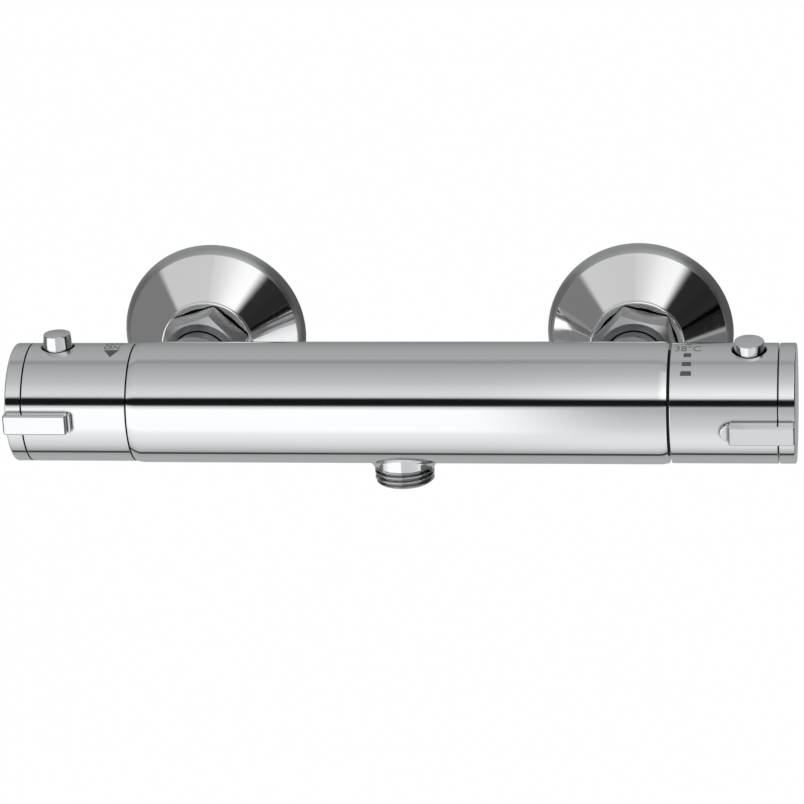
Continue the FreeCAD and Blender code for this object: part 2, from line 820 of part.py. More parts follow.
def cartridge_housing():
    main = temp_chamber_radius - loose
    nose = temp_nose_bore - loose
    start = temp_nose_seat + face_gap
    outer_bore = drive_radius + fit
    bore = spindle_radius + fit
    outside = [
        (start, nose),
        *groove_points(nose_ring_at, nose),
        (temp_chamber_start + face_gap, nose), (temp_chamber_start + face_gap, main),
        (hot_port[0] - 1, main), (hot_port[0] - 1, port_groove_radius),
        (hot_port[1] + 1, port_groove_radius), (hot_port[1] + 1, main),
        *groove_points(middle_ring_at, main),
        (cold_port[0] - 1, main), (cold_port[0] - 1, port_groove_radius),
        (cold_port[1] + 1, port_groove_radius), (cold_port[1] + 1, main),
        *groove_points(outer_ring_at, main),
        (cartridge_end - face_gap, main), (cartridge_end - face_gap, spigot_radius),
        (spigot_end, spigot_radius),
    ]
    inside = [
        (spigot_end, bore), (spindle_stop, bore), (spindle_stop, outer_bore),
        (drive_guide, outer_bore), (drive_guide, cartridge_bore),
        (cartridge_bore_start, cartridge_bore), (cartridge_bore_start, nose - 2.0),
        (start + nose_wall, nose - 2.0), (start + nose_wall, element_radius + 0.8),
        (start, element_radius + 0.8),
    ]
    body = turned(outside + inside)
    for low, high in (hot_port, cold_port):
        for turn in (0, 90):
            window = block(low, high, -port_width / 2, port_width / 2,
                           -temp_chamber_radius, temp_chamber_radius)
            window.rotate(V(0, 0, 0), V(1, 0, 0), turn)
            body = body.cut(window)
    return body.cut(key_block(drive_guide - 1, spindle_stop, fit))


def key_block(start, end, gap):
    """The key that keeps the drive nut from turning, or with a gap the slot it slides in."""
    half = drive_key[0] / 2 + gap
    return block(start, end, -half, half, drive_radius - 1, drive_radius + drive_key[1] + gap)


def cartridge_o_rings():
    rings = [seal_ring(nose_ring_at, temp_nose_bore, ring_section)]
    for at in (middle_ring_at, outer_ring_at):
        rings.append(seal_ring(at, temp_chamber_radius, ring_section))
    return Part.makeCompound(rings)


def cartridge_nut():
    head_start = body_temp_end + 2 * face_gap + stop_disc_length
    head_end = head_start + cartridge_nut_head
    bore = spigot_radius + fit
    body = tube(cartridge_end, head_start, temp_chamber_radius - fit, bore)
    head = tube(head_start, head_end, stop_ring_inner - loose, bore)
    return body.fuse(head.common(hexagon(head_start, head_end, cartridge_nut_across, 0)))


def shuttle():
    outer = cartridge_bore - fit
    ring = tube(shuttle_span[0], shuttle_span[1], outer, outer - shuttle_wall)
    web = tube(shuttle_web[0], shuttle_web[1], outer - shuttle_wall / 2, element_radius + fit)
    for i in range(6):
        hole = moved(rod(shuttle_web[0] - 1, shuttle_web[1] + 1, shuttle_hole[0]), z=shuttle_hole[1])
        hole.rotate(V(0, 0, 0), V(1, 0, 0), 60 * i)
        web = web.cut(hole)
    return ring.fuse(web)


def wax_element():
    """A copper bulb with a stepped shank that the piston works in."""
    body = turned([
        (element_span[0], 0),
        (element_span[0], element_radius - 1.0),
        (element_span[0] + 1.0, element_radius),
        (shuttle_web[1] + 1.0, element_radius),
        (shuttle_web[1] + 1.0, 3.2),
        (element_span[1], 2.8),
        (element_span[1], piston_radius + fit),
        (element_span[1] - piston_depth - 1.5, piston_radius + fit),
        (element_span[1] - piston_depth - 1.5, 0),
    ])
    collar = tube(shuttle_web[1] + face_gap, shuttle_web[1] + 1.2, element_radius + 1.0, element_radius - 0.5)
    return body.fuse(collar)


def wax_piston():
    return rod(element_span[1] - piston_depth, seat_start() - face_gap, piston_radius)


def seat_start():
    return drive_room_start + 0.2


def overload_seat():
    start = seat_start()
    return rod(start, start + 1.5, drive_radius - 1.2)


def overload_spring():
    return coil(overload_coil, seat_start() + 1.5, drive_room_end)


def drive_nut():
    nut = turned([
        (drive_start, piston_radius + 0.2),
        (drive_room_start, piston_radius + 0.2),
        (drive_room_start, drive_radius - 1.0),
        (drive_room_end, drive_radius - 1.0),
        (drive_room_end, drive_screw_radius + fit),
        (drive_end, drive_screw_radius + fit),
        (drive_end, drive_radius),
        (drive_start, drive_radius),
    ])
    return nut.fuse(key_block(drive_room_end, drive_end, 0))


def return_spring():
    start = temp_nose_seat + face_gap + nose_wall
    return coil(return_coil, start, shuttle_web[0])


def temp_spindle():
    floor = spindle_radius - spindle_groove
    collar = drive_radius - loose
    screw_start = drive_room_end + 0.5
    groove = spindle_stop + 2.3
    points = [
        (screw_start, 0),
        (screw_start, drive_screw_radius),
        (collar_start, drive_screw_radius),
        (collar_start, collar),
        (spindle_stop - face_gap, collar),
        (spindle_stop - face_gap, spindle_radius),
        (groove, spindle_radius), (groove, floor),
        (groove + groove_width, floor), (groove + groove_width, spindle_radius),
    ]
    return turned(spindle_tip(points, spindle_radius))


def temp_spindle_o_ring():
    return seal_ring(spindle_stop + 3.0, spindle_radius + fit, (spindle_groove + fit) / 2)


# ---- knobs: made with the lever towards -Y and the button up, then turned to the rest position ----

def knob_shell(side, seam_gap, hole_radius):
    start = knob_seam + seam_gap / 2
    end = cap_seam - cap_seam_gap / 2
    edge = 0.25
    shell = turned([
        (start, knob_bore), (end, knob_bore), (end, bar_radius - edge), (end - edge, bar_radius),
        (start + edge, bar_radius), (start, bar_radius - edge),
    ], on_side(side))
    hole = rod(knob_bore - 5, bar_radius + 5, hole_radius, "+z")
    sink_low = bar_radius - button_countersink
    sink = Part.makeCone(hole_radius, hole_radius + button_countersink + 1, button_countersink + 1,
                         V(0, 0, sink_low), V(0, 0, 1))
    shell = shell.cut(moved(hole, side * button_at)).cut(moved(sink, side * button_at))
    for at in lever_pegs:
        shell = shell.cut(moved(rod(0, bar_radius + 5, lever_peg_radius + fit, "-y"), side * at))
    return shell


def end_cap(side):
    start = cap_seam + cap_seam_gap / 2
    face = 2.2
    ring = knob_bore - fit
    return turned([
        (cap_spigot_start, ring - 2.0), (bar_half_length - face, ring - 2.0), (bar_half_length - face, 0),
        (bar_half_length, 0), (bar_half_length, bar_radius), (start, bar_radius), (start, ring),
        (cap_spigot_start, ring),
    ], on_side(side), {4: 0.7})


def lever_foot(side):
    """The low step at the lever's inner end: square on the flow side, round on the other."""
    deep = bar_radius - 3
    if side == flow_side:
        low, high = across(side, lever_start - square_foot_reach, lever_start + lever_corner + 1)
        half = lever_width / 2 - square_foot_inset
        foot = block(low, high, -lever_foot_top, -deep, -half, half)
        return foot.makeFillet(lever_corner, [e for e in foot.Edges if e.BoundBox.YLength > 1])
    foot = turned([
        (deep, 0), (lever_foot_top, 0), (lever_foot_top, lever_foot_radius - 0.5),
        (lever_foot_top - 0.5, lever_foot_radius), (deep, lever_foot_radius),
    ], "-y")
    return moved(foot, side * (lever_start + lever_foot_shift))


def lever(side):
    """A bevelled bar along the knob and its cap, with a low foot at its inner end."""
    low, high = across(side, lever_start, bar_half_length)
    half = lever_width / 2
    bar = block(low, high, -lever_top, -bar_radius + 3, -half, half)
    upright = [e for e in bar.Edges if e.BoundBox.YLength > 1]
    bar = bar.makeFillet(lever_corner, upright)
    face_edges = [e for e in bar.Edges if e.BoundBox.YMax < -lever_top + 0.01]
    bar = bar.makeChamfer(lever_bevel, face_edges)
    shape = bar.fuse(lever_foot(side))
    x_low, x_high = across(side, lever_start - 10, bar_half_length + 1)
    shape = shape.cut(Part.makeCylinder(bar_radius + fit, x_high - x_low, V(x_low, 0, 0), V(1, 0, 0)))
    for at in lever_pegs:
        shape = shape.fuse(moved(rod(knob_bore - 0.6, bar_radius + 1, lever_peg_radius, "-y"), side * at))
    return shape


def button(side, top, radii):
    """A round cap, its retaining flange and stem, and the arm that meets the stop ring."""
    head_radius, foot_radius = radii
    shape = turned([
        (tray_height[0] - 0.6, 0),
        (tray_height[0] - 0.6, button_stem_radius),
        (button_flange[0], button_stem_radius),
        (button_flange[0], button_flange_radius),
        (button_flange[1], button_flange_radius),
        (button_flange[1], foot_radius),
        (bar_radius, foot_radius),
        (top - button_chamfer, head_radius),
        (top, head_radius - button_chamfer),
        (top, 0),
    ], "+z")
    shape = moved(shape, side * button_at)
    # the arm ends outside the spring's turns and rises into the flange beyond the stop ring
    arm_end = button_at - button_coil[0] - button_coil[1] - loose
    arm_low = button_flange[0] + 0.1 - arm_depth
    half = arm_width / 2
    low, high = across(side, arm_start, arm_end)
    shape = shape.fuse(block(low, high, -half, half, arm_low, arm_low + arm_depth))
    low, high = across(side, stop_ring_end + 2 * loose, arm_end)
    return shape.fuse(block(low, high, -half, half, arm_low, button_flange[0] + arm_root_rise))


def button_spring(side):
    return moved(coil(button_coil, tray_height[1], button_flange[0], "+z"), side * button_at)


def carrier(side):
    """The plastic insert that joins the knob to the spindle and carries the button's spring."""
    bore = spindle_radius + fit
    shape = turned([
        (carrier_start, bore), (spindle_end + face_gap, bore),
        (spindle_end + face_gap, screw_radius + 0.5), (carrier_disc[1], screw_radius + 0.5),
        (carrier_disc[1], knob_bore - fit), (carrier_disc[0], knob_bore - fit),
        (carrier_disc[0], carrier_hub_radius), (carrier_start, carrier_hub_radius),
    ], on_side(side))
    low, high = across(side, carrier_disc[1] - 1, tray_end)
    tray = block(low, high, -tray_width / 2, tray_width / 2, tray_height[0], tray_height[1])
    shape = shape.fuse(tray)
    stem_hole = moved(rod(0, button_flange[0], button_stem_radius + 0.2, "+z"), side * button_at)
    shape = shape.cut(stem_hole)
    low, high = across(side, carrier_disc[0] - 1, carrier_disc[1] + 1)
    slot_half = arm_width / 2 + 0.4
    slot_low = button_flange[0] - arm_depth - button_travel - 0.3
    return shape.cut(block(low, high, -slot_half, slot_half, slot_low, knob_bore + 1))


def knob_screw(side):
    head = carrier_disc[1] + face_gap
    screw = turned([
        (spindle_end - screw_depth + 0.5, 0), (spindle_end - screw_depth + 0.5, screw_radius),
        (head, screw_radius), (head, screw_head_radius), (head + screw_head_length, screw_head_radius),
        (head + screw_head_length, 0),
    ], on_side(side))
    socket = hexagon(head + 1.0, head + screw_head_length + 1, 3.0, 0, on_side(side))
    return screw.cut(socket)


def stop_ring(side, seam_gap, inner_radius, travel, rest_drop):
    """A ring on the body's end, with a lug beyond each end of the knob's travel."""
    start = knob_seam - seam_gap / 2 + face_gap
    disc_end = start + stop_disc_length
    ring = turned([
        (start, inner_radius), (disc_end, inner_radius), (disc_end, stop_ring_inner),
        (stop_ring_end, stop_ring_inner), (stop_ring_end, stop_ring_outer), (start, stop_ring_outer),
    ], on_side(side))
    arm_half = 180 / pi * (arm_width / 2) / (button_flange[0] - arm_depth)
    beyond = arm_half + stop_margin + stop_lug_angle / 2
    low, high = across(side, arm_start - 3, stop_ring_end)
    lug_half = stop_ring_inner * radians(stop_lug_angle / 2)
    for degrees in (travel[0] - beyond, travel[1] + beyond):
        lug = block(low, high, -lug_half, lug_half, stop_lug_radius, stop_ring_inner + 0.5)
        lug.rotate(V(0, 0, 0), V(1, 0, 0), degrees + rest_drop)
        ring = ring.fuse(lug)
    return ring


def knob_group(side, names, seam_gap, button_top, button_radii, drop):
    """Every piece that turns with one knob, at its rest position."""
    hole_radius = max(button_radii) + button_hole_gap
    group = {
        names["knob"]: knob_shell(side, seam_gap, hole_radius),
        names["cap"]: end_cap(side),
        names["lever"]: lever(side),
        names["button"]: button(side, button_top, button_radii),
        names["spring"]: button_spring(side),
        names["carrier"]: carrier(side),
        names["screw"]: knob_screw(side),
    }
    for shape in group.values():
        shape.rotate(V(0, 0, 0), V(1, 0, 0), drop)
    return group


# ---- assembly ----

nodes["valve_body"] = valve_body()
nodes["channel_plugs"] = channel_plugs()
nodes["outlet_nipple"] = outlet_nipple()

for name, x, corner_degrees in (("hot", hot_x, hot_nut_corner), ("cold", cold_x, cold_nut_corner)):
    nodes[name + "_inlet_tail"] = moved(inlet_tail(), x)
    nodes[name + "_union_nut"] = moved(union_nut(corner_degrees), x)
    nodes[name + "_washer"] = moved(inlet_washer(), x)
    nodes[name + "_filter"] = moved(inlet_filter(), x)
    nodes[name + "_s_union"] = moved(eccentric_union(), x)
    nodes[name + "_rosette"] = moved(rosette(), x)
    nodes[name + "_check_housing"] = moved(check_housing(), x)
    nodes[name + "_check_poppet"] = moved(check_poppet(), x)
    nodes[name + "_check_spring"] = moved(check_spring(), x)

stack = disc_stack()
nodes["flow_seal"] = flow_seal()
nodes["flow_fixed_disc"] = ceramic_disc(stack["fixed"], fixed_disc_length, 0)
nodes["flow_moving_disc"] = moving_disc()
nodes["flow_housing"] = flow_housing()
nodes["flow_spindle"] = flow_spindle()
nodes["flow_o_rings"] = flow_o_rings()
nodes["flow_stop_ring"] = stop_ring(flow_side, flow_seam_gap, flow_chamber_radius + fit,
                                    flow_range, flow_lever_drop)

nodes["cartridge_housing"] = cartridge_housing()
nodes["cartridge_nut"] = cartridge_nut()
nodes["cartridge_o_rings"] = cartridge_o_rings()
nodes["shuttle"] = shuttle()
nodes["wax_element"] = wax_element()
nodes["wax_piston"] = wax_piston()
nodes["return_spring"] = return_spring()
nodes["drive_nut"] = drive_nut()
nodes["overload_seat"] = overload_seat()
nodes["overload_spring"] = overload_spring()
nodes["temp_spindle"] = temp_spindle()
nodes["temp_spindle_o_ring"] = temp_spindle_o_ring()
nodes["temp_stop_ring"] = stop_ring(temp_side, temp_seam_gap, temp_chamber_radius + fit,
                                    temp_range, temp_lever_drop)

nodes.update(knob_group(
    flow_side,
    {"knob": "flow_knob", "cap": "flow_end_cap", "lever": "flow_lever", "button": "eco_button",
     "spring": "eco_button_spring", "carrier": "flow_carrier", "screw": "flow_knob_screw"},
    flow_seam_gap, eco_button_top, eco_button_radii, flow_lever_drop))
nodes.update(knob_group(
    temp_side,
    {"knob": "temp_knob", "cap": "temp_end_cap", "lever": "temp_lever", "button": "safety_button",
     "spring": "safety_button_spring", "carrier": "temp_carrier", "screw": "temp_knob_screw"},
    temp_seam_gap, safety_button_top, safety_button_radii, temp_lever_drop))

os.makedirs("parts", exist_ok=True)
for name, shape in nodes.items():
    shape.translate(to_wall_frame)
    shape.exportStep("parts/" + name + ".step")
    print(name, len(shape.Solids), "solid", shape.isValid(), round(shape.Volume, 1))
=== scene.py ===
import bpy
import json
from math import asin, cos, pi, radians, sin, sqrt, tan
from mathutils import Matrix, Vector


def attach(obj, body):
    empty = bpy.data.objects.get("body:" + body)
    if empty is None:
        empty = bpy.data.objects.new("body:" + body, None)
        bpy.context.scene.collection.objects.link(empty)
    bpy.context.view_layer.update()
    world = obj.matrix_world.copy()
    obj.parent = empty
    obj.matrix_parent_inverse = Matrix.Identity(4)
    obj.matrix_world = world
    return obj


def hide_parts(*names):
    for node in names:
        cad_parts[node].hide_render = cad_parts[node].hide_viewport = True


# Chrome thermostatic shower valve. Sizes are millimetres round the bar's axis, as they were read
# from the photograph; toFrame turns them into the model's metres.

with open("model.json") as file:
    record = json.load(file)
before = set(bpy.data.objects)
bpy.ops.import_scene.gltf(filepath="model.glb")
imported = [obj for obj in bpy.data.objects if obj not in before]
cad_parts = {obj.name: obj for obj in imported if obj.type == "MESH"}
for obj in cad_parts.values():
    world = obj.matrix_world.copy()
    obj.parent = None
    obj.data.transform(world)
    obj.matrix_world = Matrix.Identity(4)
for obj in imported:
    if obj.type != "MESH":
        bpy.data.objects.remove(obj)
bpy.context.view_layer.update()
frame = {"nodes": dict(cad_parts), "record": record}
nodes = frame["nodes"]

barOffset = (1.45, -80.0, -3.5)
supplyX = {"hot": -81.45, "cold": 78.55}


# A point round the bar's axis in mm as a point of the model in metres.
def toFrame(point):
    return tuple((value + shift) / 1000 for value, shift in zip(point, barOffset))


# An sRGB hex colour as linear RGBA.
def linear(hexColour):
    channels = []
    for i in (1, 3, 5):
        value = int(hexColour[i:i + 2], 16) / 255
        channels.append(value / 12.92 if value <= 0.04045 else ((value + 0.055) / 1.055) ** 2.4)
    return (*channels, 1.0)


# A node with its settings; each input is a value or another node's output socket.
def addNode(tree, kind, settings=None, **inputs):
    node = tree.nodes.new("ShaderNode" + kind)
    for key, value in (settings or {}).items():
        setattr(node, key, value)
    for key, value in inputs.items():
        name = key.replace("_", " ")
        socket = node.inputs[int(key[1:])] if key[1:].isdigit() else node.inputs[name]
        if isinstance(value, bpy.types.NodeSocket):
            tree.links.new(value, socket)
        else:
            socket.default_value = value
    return node


# An empty material with a principled shader on its output.
def newMaterial(name):
    material = bpy.data.materials.new(name)
    material.use_nodes = True
    tree = material.node_tree
    tree.nodes.clear()
    shader = tree.nodes.new("ShaderNodeBsdfPrincipled")
    output = tree.nodes.new("ShaderNodeOutputMaterial")
    tree.links.new(shader.outputs["BSDF"], output.inputs["Surface"])
    return material, tree, shader


# The colour at this factor along stops of (position, grey or colour).
def ramp(tree, factor, stops):
    node = addNode(tree, "ValToRGB", Fac=factor)
    elements = node.color_ramp.elements
    while len(elements) > 1:
        elements.remove(elements[-1])
    for i, (position, value) in enumerate(stops):
        element = elements[0] if i == 0 else elements.new(position)
        element.position = position
        element.color = value if isinstance(value, tuple) else (value, value, value, 1)
    return node.outputs["Color"]


# A principled surface with broad unevenness, fine grain and faint wear from procedural noise, and,
# where a look asks for it, painted shade that darkens the colour where parts meet.
def surfaceMaterial(look):
    material, tree, shader = newMaterial(look["name"])
    place = addNode(tree, "TexCoord").outputs["Object"]
    broad = addNode(tree, "TexNoise", {"noise_dimensions": "3D"}, Vector=place,
                    Scale=1 / look["broadSize"], Detail=3.0, Roughness=0.55)
    fine = addNode(tree, "TexNoise", {"noise_dimensions": "3D"}, Vector=place,
                   Scale=1 / look["fineSize"], Detail=4.0, Roughness=0.6)
    tint = addNode(tree, "Mix", {"data_type": "RGBA"}, Factor=broad.outputs["Fac"],
                   i6=linear(look["colour"]), i7=linear(look["colourWorn"]))
    colour = tint.outputs[2]
    # painted shade: ambient occlusion darkens the base colour in corners, seams, recesses and under
    # parts
    if look.get("paintedContactShade"):
        reach, floorShade = look["paintedContactShade"]
        near = addNode(tree, "AmbientOcclusion", {"samples": 8}, Distance=reach).outputs["AO"]
        shade = addNode(tree, "MapRange", None, Value=near)
        shade.inputs["From Min"].default_value = look.get("paintedShadeStart", 0.5)
        shade.inputs["From Max"].default_value = 0.95
        shade.inputs["To Min"].default_value = floorShade
        colour = addNode(tree, "VectorMath", {"operation": "SCALE"}, i0=colour,
                         Scale=shade.outputs["Result"]).outputs[0]
    tree.links.new(colour, shader.inputs["Base Color"])
    low, high = look["roughness"]
    rough = addNode(tree, "MapRange", None, Value=fine.outputs["Fac"])
    rough.inputs["From Min"].default_value = 0.35
    rough.inputs["From Max"].default_value = 0.7
    rough.inputs["To Min"].default_value = low
    rough.inputs["To Max"].default_value = high
    tree.links.new(rough.outputs["Result"], shader.inputs["Roughness"])
    shader.inputs["Metallic"].default_value = look["metallic"]
    if look.get("ior"):
        shader.inputs["IOR"].default_value = look["ior"]
    normal = None
    if look.get("edgeRound"):
        normal = addNode(tree, "Bevel", {"samples": 8}, Radius=look["edgeRound"]).outputs["Normal"]
    if look.get("bump"):
        bump = addNode(tree, "Bump", None, Strength=1.0, Distance=look["bump"],
                       Height=fine.outputs["Fac"])
        if normal:
            tree.links.new(normal, bump.inputs["Normal"])
        normal = bump.outputs["Normal"]
    if normal:
        tree.links.new(normal, shader.inputs["Normal"])
    return material


# Chrome-plated brass: a blue-grey mirror, barely uneven where it is wiped dry, with painted shade
# darkening it where parts meet.
chromeBrassLook = {"name": "chromePlatedBrass", "colour": "#e3e4e5", "colourWorn": "#dfe0e2",
                   "metallic": 1.0, "roughness": (0.035, 0.06), "broadSize": 0.05,
                   "fineSize": 0.004, "bump": None, "edgeRound": None, "paintedContactShade": (0.0009, 0.12)}
# Chrome-plated ABS: the same mirror on moulded knobs, a shade softer, with deeper painted shade round
# the levers, buttons and seams.
chromeAbsLook = dict(chromeBrassLook, name="chromePlatedAbs", roughness=(0.04, 0.07),
                     paintedContactShade=(0.0012, 0.05))
# Chrome-plated steel: pressed covers, a little wavier, with a whiter base colour than the bar's chrome
# as painted light that brightens the covers' reflections, and painted shade where parts meet.
chromeSteelLook = dict(chromeBrassLook, name="chromePlatedSteel", colour="#fdfdfd",
                       colourWorn="#f9f9fa", roughness=(0.05, 0.09))
# Chrome-plated brass, turned and milled: nuts and threads with broken edges, and painted shade in
# their recesses.
chromeMilledLook = dict(chromeBrassLook, name="chromePlatedMilledBrass", colour="#b9babb",
                        colourWorn="#aeafb0", roughness=(0.26, 0.34), edgeRound=0.00025,
                        paintedContactShade=(0.0009, 0.3))
# Chrome-plated brass where the neck runs into the bar: the same mirror without the painted shade at
# joints.
chromeNeckLook = dict(chromeBrassLook, name="chromePlatedNeck", paintedContactShade=None)
# Chrome-plated steel rim, brushed by the press that turned it back: a soft mid-grey band.
rimLook = dict(chromeBrassLook, name="brushedChromeRim", colour="#c6c7c8", colourWorn="#bcbdbe",
               roughness=(0.3, 0.38), paintedContactShade=None)
# Thin chrome over a machined thread: darker, with painted shade that blackens the roots.
chromeThreadLook = dict(chromeBrassLook, name="chromePlatedThread", colour="#c4c4c5",
                        colourWorn="#b0b0b1", roughness=(0.1, 0.16), paintedContactShade=(0.001, 0.25),
                        paintedShadeStart=0.2)
# Bare machined brass: warm yellow, dulled by water.
brassLook = {"name": "machinedBrass", "colour": "#cdaa66", "colourWorn": "#a98647",
             "metallic": 1.0, "roughness": (0.22, 0.4), "broadSize": 0.01, "fineSize": 0.0008,
             "bump": 0.00001, "edgeRound": 0.0002}
# Acetal: milky white engineering plastic, waxy.
acetalLook = {"name": "acetal", "colour": "#e6e4dc", "colourWorn": "#dcd8cb",
              "metallic": 0.0, "ior": 1.48, "roughness": (0.35, 0.5), "broadSize": 0.02,
              "fineSize": 0.0006, "bump": 0.000008, "edgeRound": 0.0002}
# Black polypropylene: the stop rings that show as black lines in the joints.
blackLook = {"name": "blackPolypropylene", "colour": "#101010", "colourWorn": "#171717",
             "metallic": 0.0, "ior": 1.49, "roughness": (0.45, 0.6), "broadSize": 0.02,
             "fineSize": 0.0006, "bump": 0.000008, "edgeRound": 0.0002}
# Glass-filled nylon: grey carriers inside the knobs.
nylonLook = dict(acetalLook, name="glassFilledNylon", colour="#85878a", colourWorn="#777a7d",
                 ior=1.53)
# EPDM rubber: matt black seals.
rubberLook = dict(blackLook, name="epdmRubber", colour="#1a1a1a", colourWorn="#252525",
                  ior=1.52, roughness=(0.6, 0.8))
# Lapped alumina: ivory ceramic with a silky sheen.
aluminaLook = dict(acetalLook, name="lappedAlumina", colour="#f0eee7", colourWorn="#e9e6dc",
                   ior=1.76, roughness=(0.15, 0.25))
# Drawn copper: the thermal element's bulb, browned in patches.
copperLook = dict(brassLook, name="drawnCopper", colour="#b87750", colourWorn="#8f5638")
# Drawn stainless steel: springs, screws and filters.
steelLook = dict(brassLook, name="drawnStainlessSteel", colour="#b8babb", colourWorn="#a5a7a9",
                 roughness=(0.18, 0.32))
# Pad-printed ink: mid-grey marks on the chrome.
inkLook = {"name": "padPrintedInk", "colour": "#58595a", "colourWorn": "#6a6b6c",
           "metallic": 0.0, "ior": 1.5, "roughness": (0.5, 0.65), "broadSize": 0.002,
           "fineSize": 0.0003, "bump": None, "edgeRound": None}
# The same ink printed thinner.
thinInkLook = dict(inkLook, name="thinPadPrintedInk", colour="#6e6f70", colourWorn="#7e7f80")

print("materials")
materials = {}
for look in (chromeBrassLook, chromeAbsLook, chromeSteelLook, chromeMilledLook, chromeThreadLook,
             chromeNeckLook, rimLook, brassLook, acetalLook, blackLook, nylonLook, rubberLook,
             aluminaLook, copperLook, steelLook, inkLook, thinInkLook):
    materials[look["name"]] = surfaceMaterial(look)

slotMaterials = {
    "chrome_brass": "chromePlatedBrass",
    "chrome_steel": "chromePlatedSteel",
    "chrome_plastic": "chromePlatedAbs",
    "raw_brass": "machinedBrass",
    "engineering_plastic": "acetal",
    "black_plastic": "blackPolypropylene",
    "carrier_plastic": "glassFilledNylon",
    "rubber": "epdmRubber",
    "ceramic": "lappedAlumina",
    "copper": "drawnCopper",
    "stainless": "drawnStainlessSteel",
}
for part in frame["record"]["subparts"]:
    mesh = nodes[part["node"]].data
    mesh.materials.clear()
    mesh.materials.append(materials[slotMaterials[part["material_slot"]]])
for name in ("hot_union_nut", "cold_union_nut"):
    nodes[name].data.materials[0] = materials["chromePlatedMilledBrass"]


# A mesh piece on its body; edges sharper than smoothBelow degrees stay hard.
def addPiece(name, points, faces, body, material, replaced=(), smoothBelow=30):
    mesh = bpy.data.meshes.new(name)
    mesh.from_pydata([toFrame(p) for p in points], [], faces)
    mesh.validate()
    mesh.shade_smooth()
    mesh.set_sharp_from_angle(angle=radians(smoothBelow))
    mesh.materials.append(materials[material])
    piece = bpy.data.objects.new(name, mesh)
    bpy.context.scene.collection.objects.link(piece)
    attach(piece, body)
    if replaced:
        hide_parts(*replaced)
    return piece


# (along, radius) points; a third number rounds that corner with an arc of this radius.
def roundedProfile(points, steps=6):
    result = []
    count = len(points)
    for i, point in enumerate(points):
        corner = Vector(point[:2])
        if len(point) == 2:
            result.append(corner)
            continue
        before = (Vector(points[i - 1][:2]) - corner).normalized()
        after = (Vector(points[(i + 1) % count][:2]) - corner).normalized()
        half = before.angle(after) / 2
        reach = point[2] / tan(half)
        middle = corner + (before + after).normalized() * (point[2] / sin(half))
        first = corner + before * reach - middle
        last = corner + after * reach - middle
        sweep = first.angle(last)
        for k in range(steps + 1):
            t = k / steps
            mix = first * sin((1 - t) * sweep) + last * sin(t * sweep)
            result.append(middle + mix / sin(sweep))
    return result


# Extra points close to both ends of each long run, so that its shading stays flat.
def supported(profile, near=0.06):
    result = []
    for i, point in enumerate(profile):
        following = profile[(i + 1) % len(profile)]
        run = following - point
        result.append(point)
        if run.length > 4 * near:
            step = run.normalized() * near
            result += [point + step, following - step]
    return result


# A point at this distance along an axis, radius and angle; angle 0 is towards the user or +X.
def placeOn(axis, origin, along, radius, angle):
    x, y, z = origin
    if axis == "x":
        return (x + along, y - radius * cos(angle), z + radius * sin(angle))
    if axis == "y":
        return (x + radius * cos(angle), y + along, z + radius * sin(angle))
    return (x + radius * cos(angle), y + radius * sin(angle), z + along)


# Points and faces of a closed profile turned round an axis.
def lathePoints(profile, axis, origin, segments):
    points, faces = [], []
    rows = len(profile)
    for i in range(segments):
        angle = 2 * pi * i / segments
        for along, radius in profile:
            points.append(placeOn(axis, origin, along, radius, angle))
    for i in range(segments):
        here, there = i * rows, (i + 1) % segments * rows
        for k in range(rows):
            n = (k + 1) % rows
            onAxis = profile[k][1] < 1e-6, profile[n][1] < 1e-6
            if all(onAxis):
                continue
            if onAxis[0]:
                faces.append((here + k, here + n, there + n))
            elif onAxis[1]:
                faces.append((here + k, here + n, there + k))
            else:
                faces.append((here + k, here + n, there + n, there + k))
    return points, faces


# Points turned about the bar's axis, from the made position to the rest position.
def turnPoints(points, drop):
    c, s = cos(radians(drop)), sin(radians(drop))
    return [(x, y * c - z * s, y * s + z * c) for x, y, z in points]


# The faces wound so that the whole closed shell has a positive volume.
def orientOut(faces, points):
    volume = 0
    for face in faces:
        a = Vector(points[face[0]])
        for i in range(1, len(face) - 1):
            volume += a.dot(Vector(points[face[i]]).cross(Vector(points[face[i + 1]])))
    return faces if volume > 0 else [tuple(reversed(face)) for face in faces]


# A turned piece from its profile's corners.
def addLathe(name, corners, axis, origin, body, material, replaced=(), drop=0.0,
             segments=256, steps=6, smoothBelow=30):
    profile = [(p[0], p[1]) for p in supported(roundedProfile(corners, steps))]
    points, faces = lathePoints(profile, axis, origin, segments)
    faces = orientOut(faces, points)
    if drop:
        points = turnPoints(points, drop)
    return addPiece(name, points, faces, body, material, replaced, smoothBelow)


bar = {"radius": 21.42, "left": -94.65, "right": 94.4, "endLength": 3.2, "endDrop": 0.5,
       "flowBore": 10.53, "flowBoreEnd": -50.0, "centreWay": 7.0, "centreWayEnd": 28.0,
       "mixBore": 11.5, "mixBoreEnd": 44.0, "tempBore": 15.0}


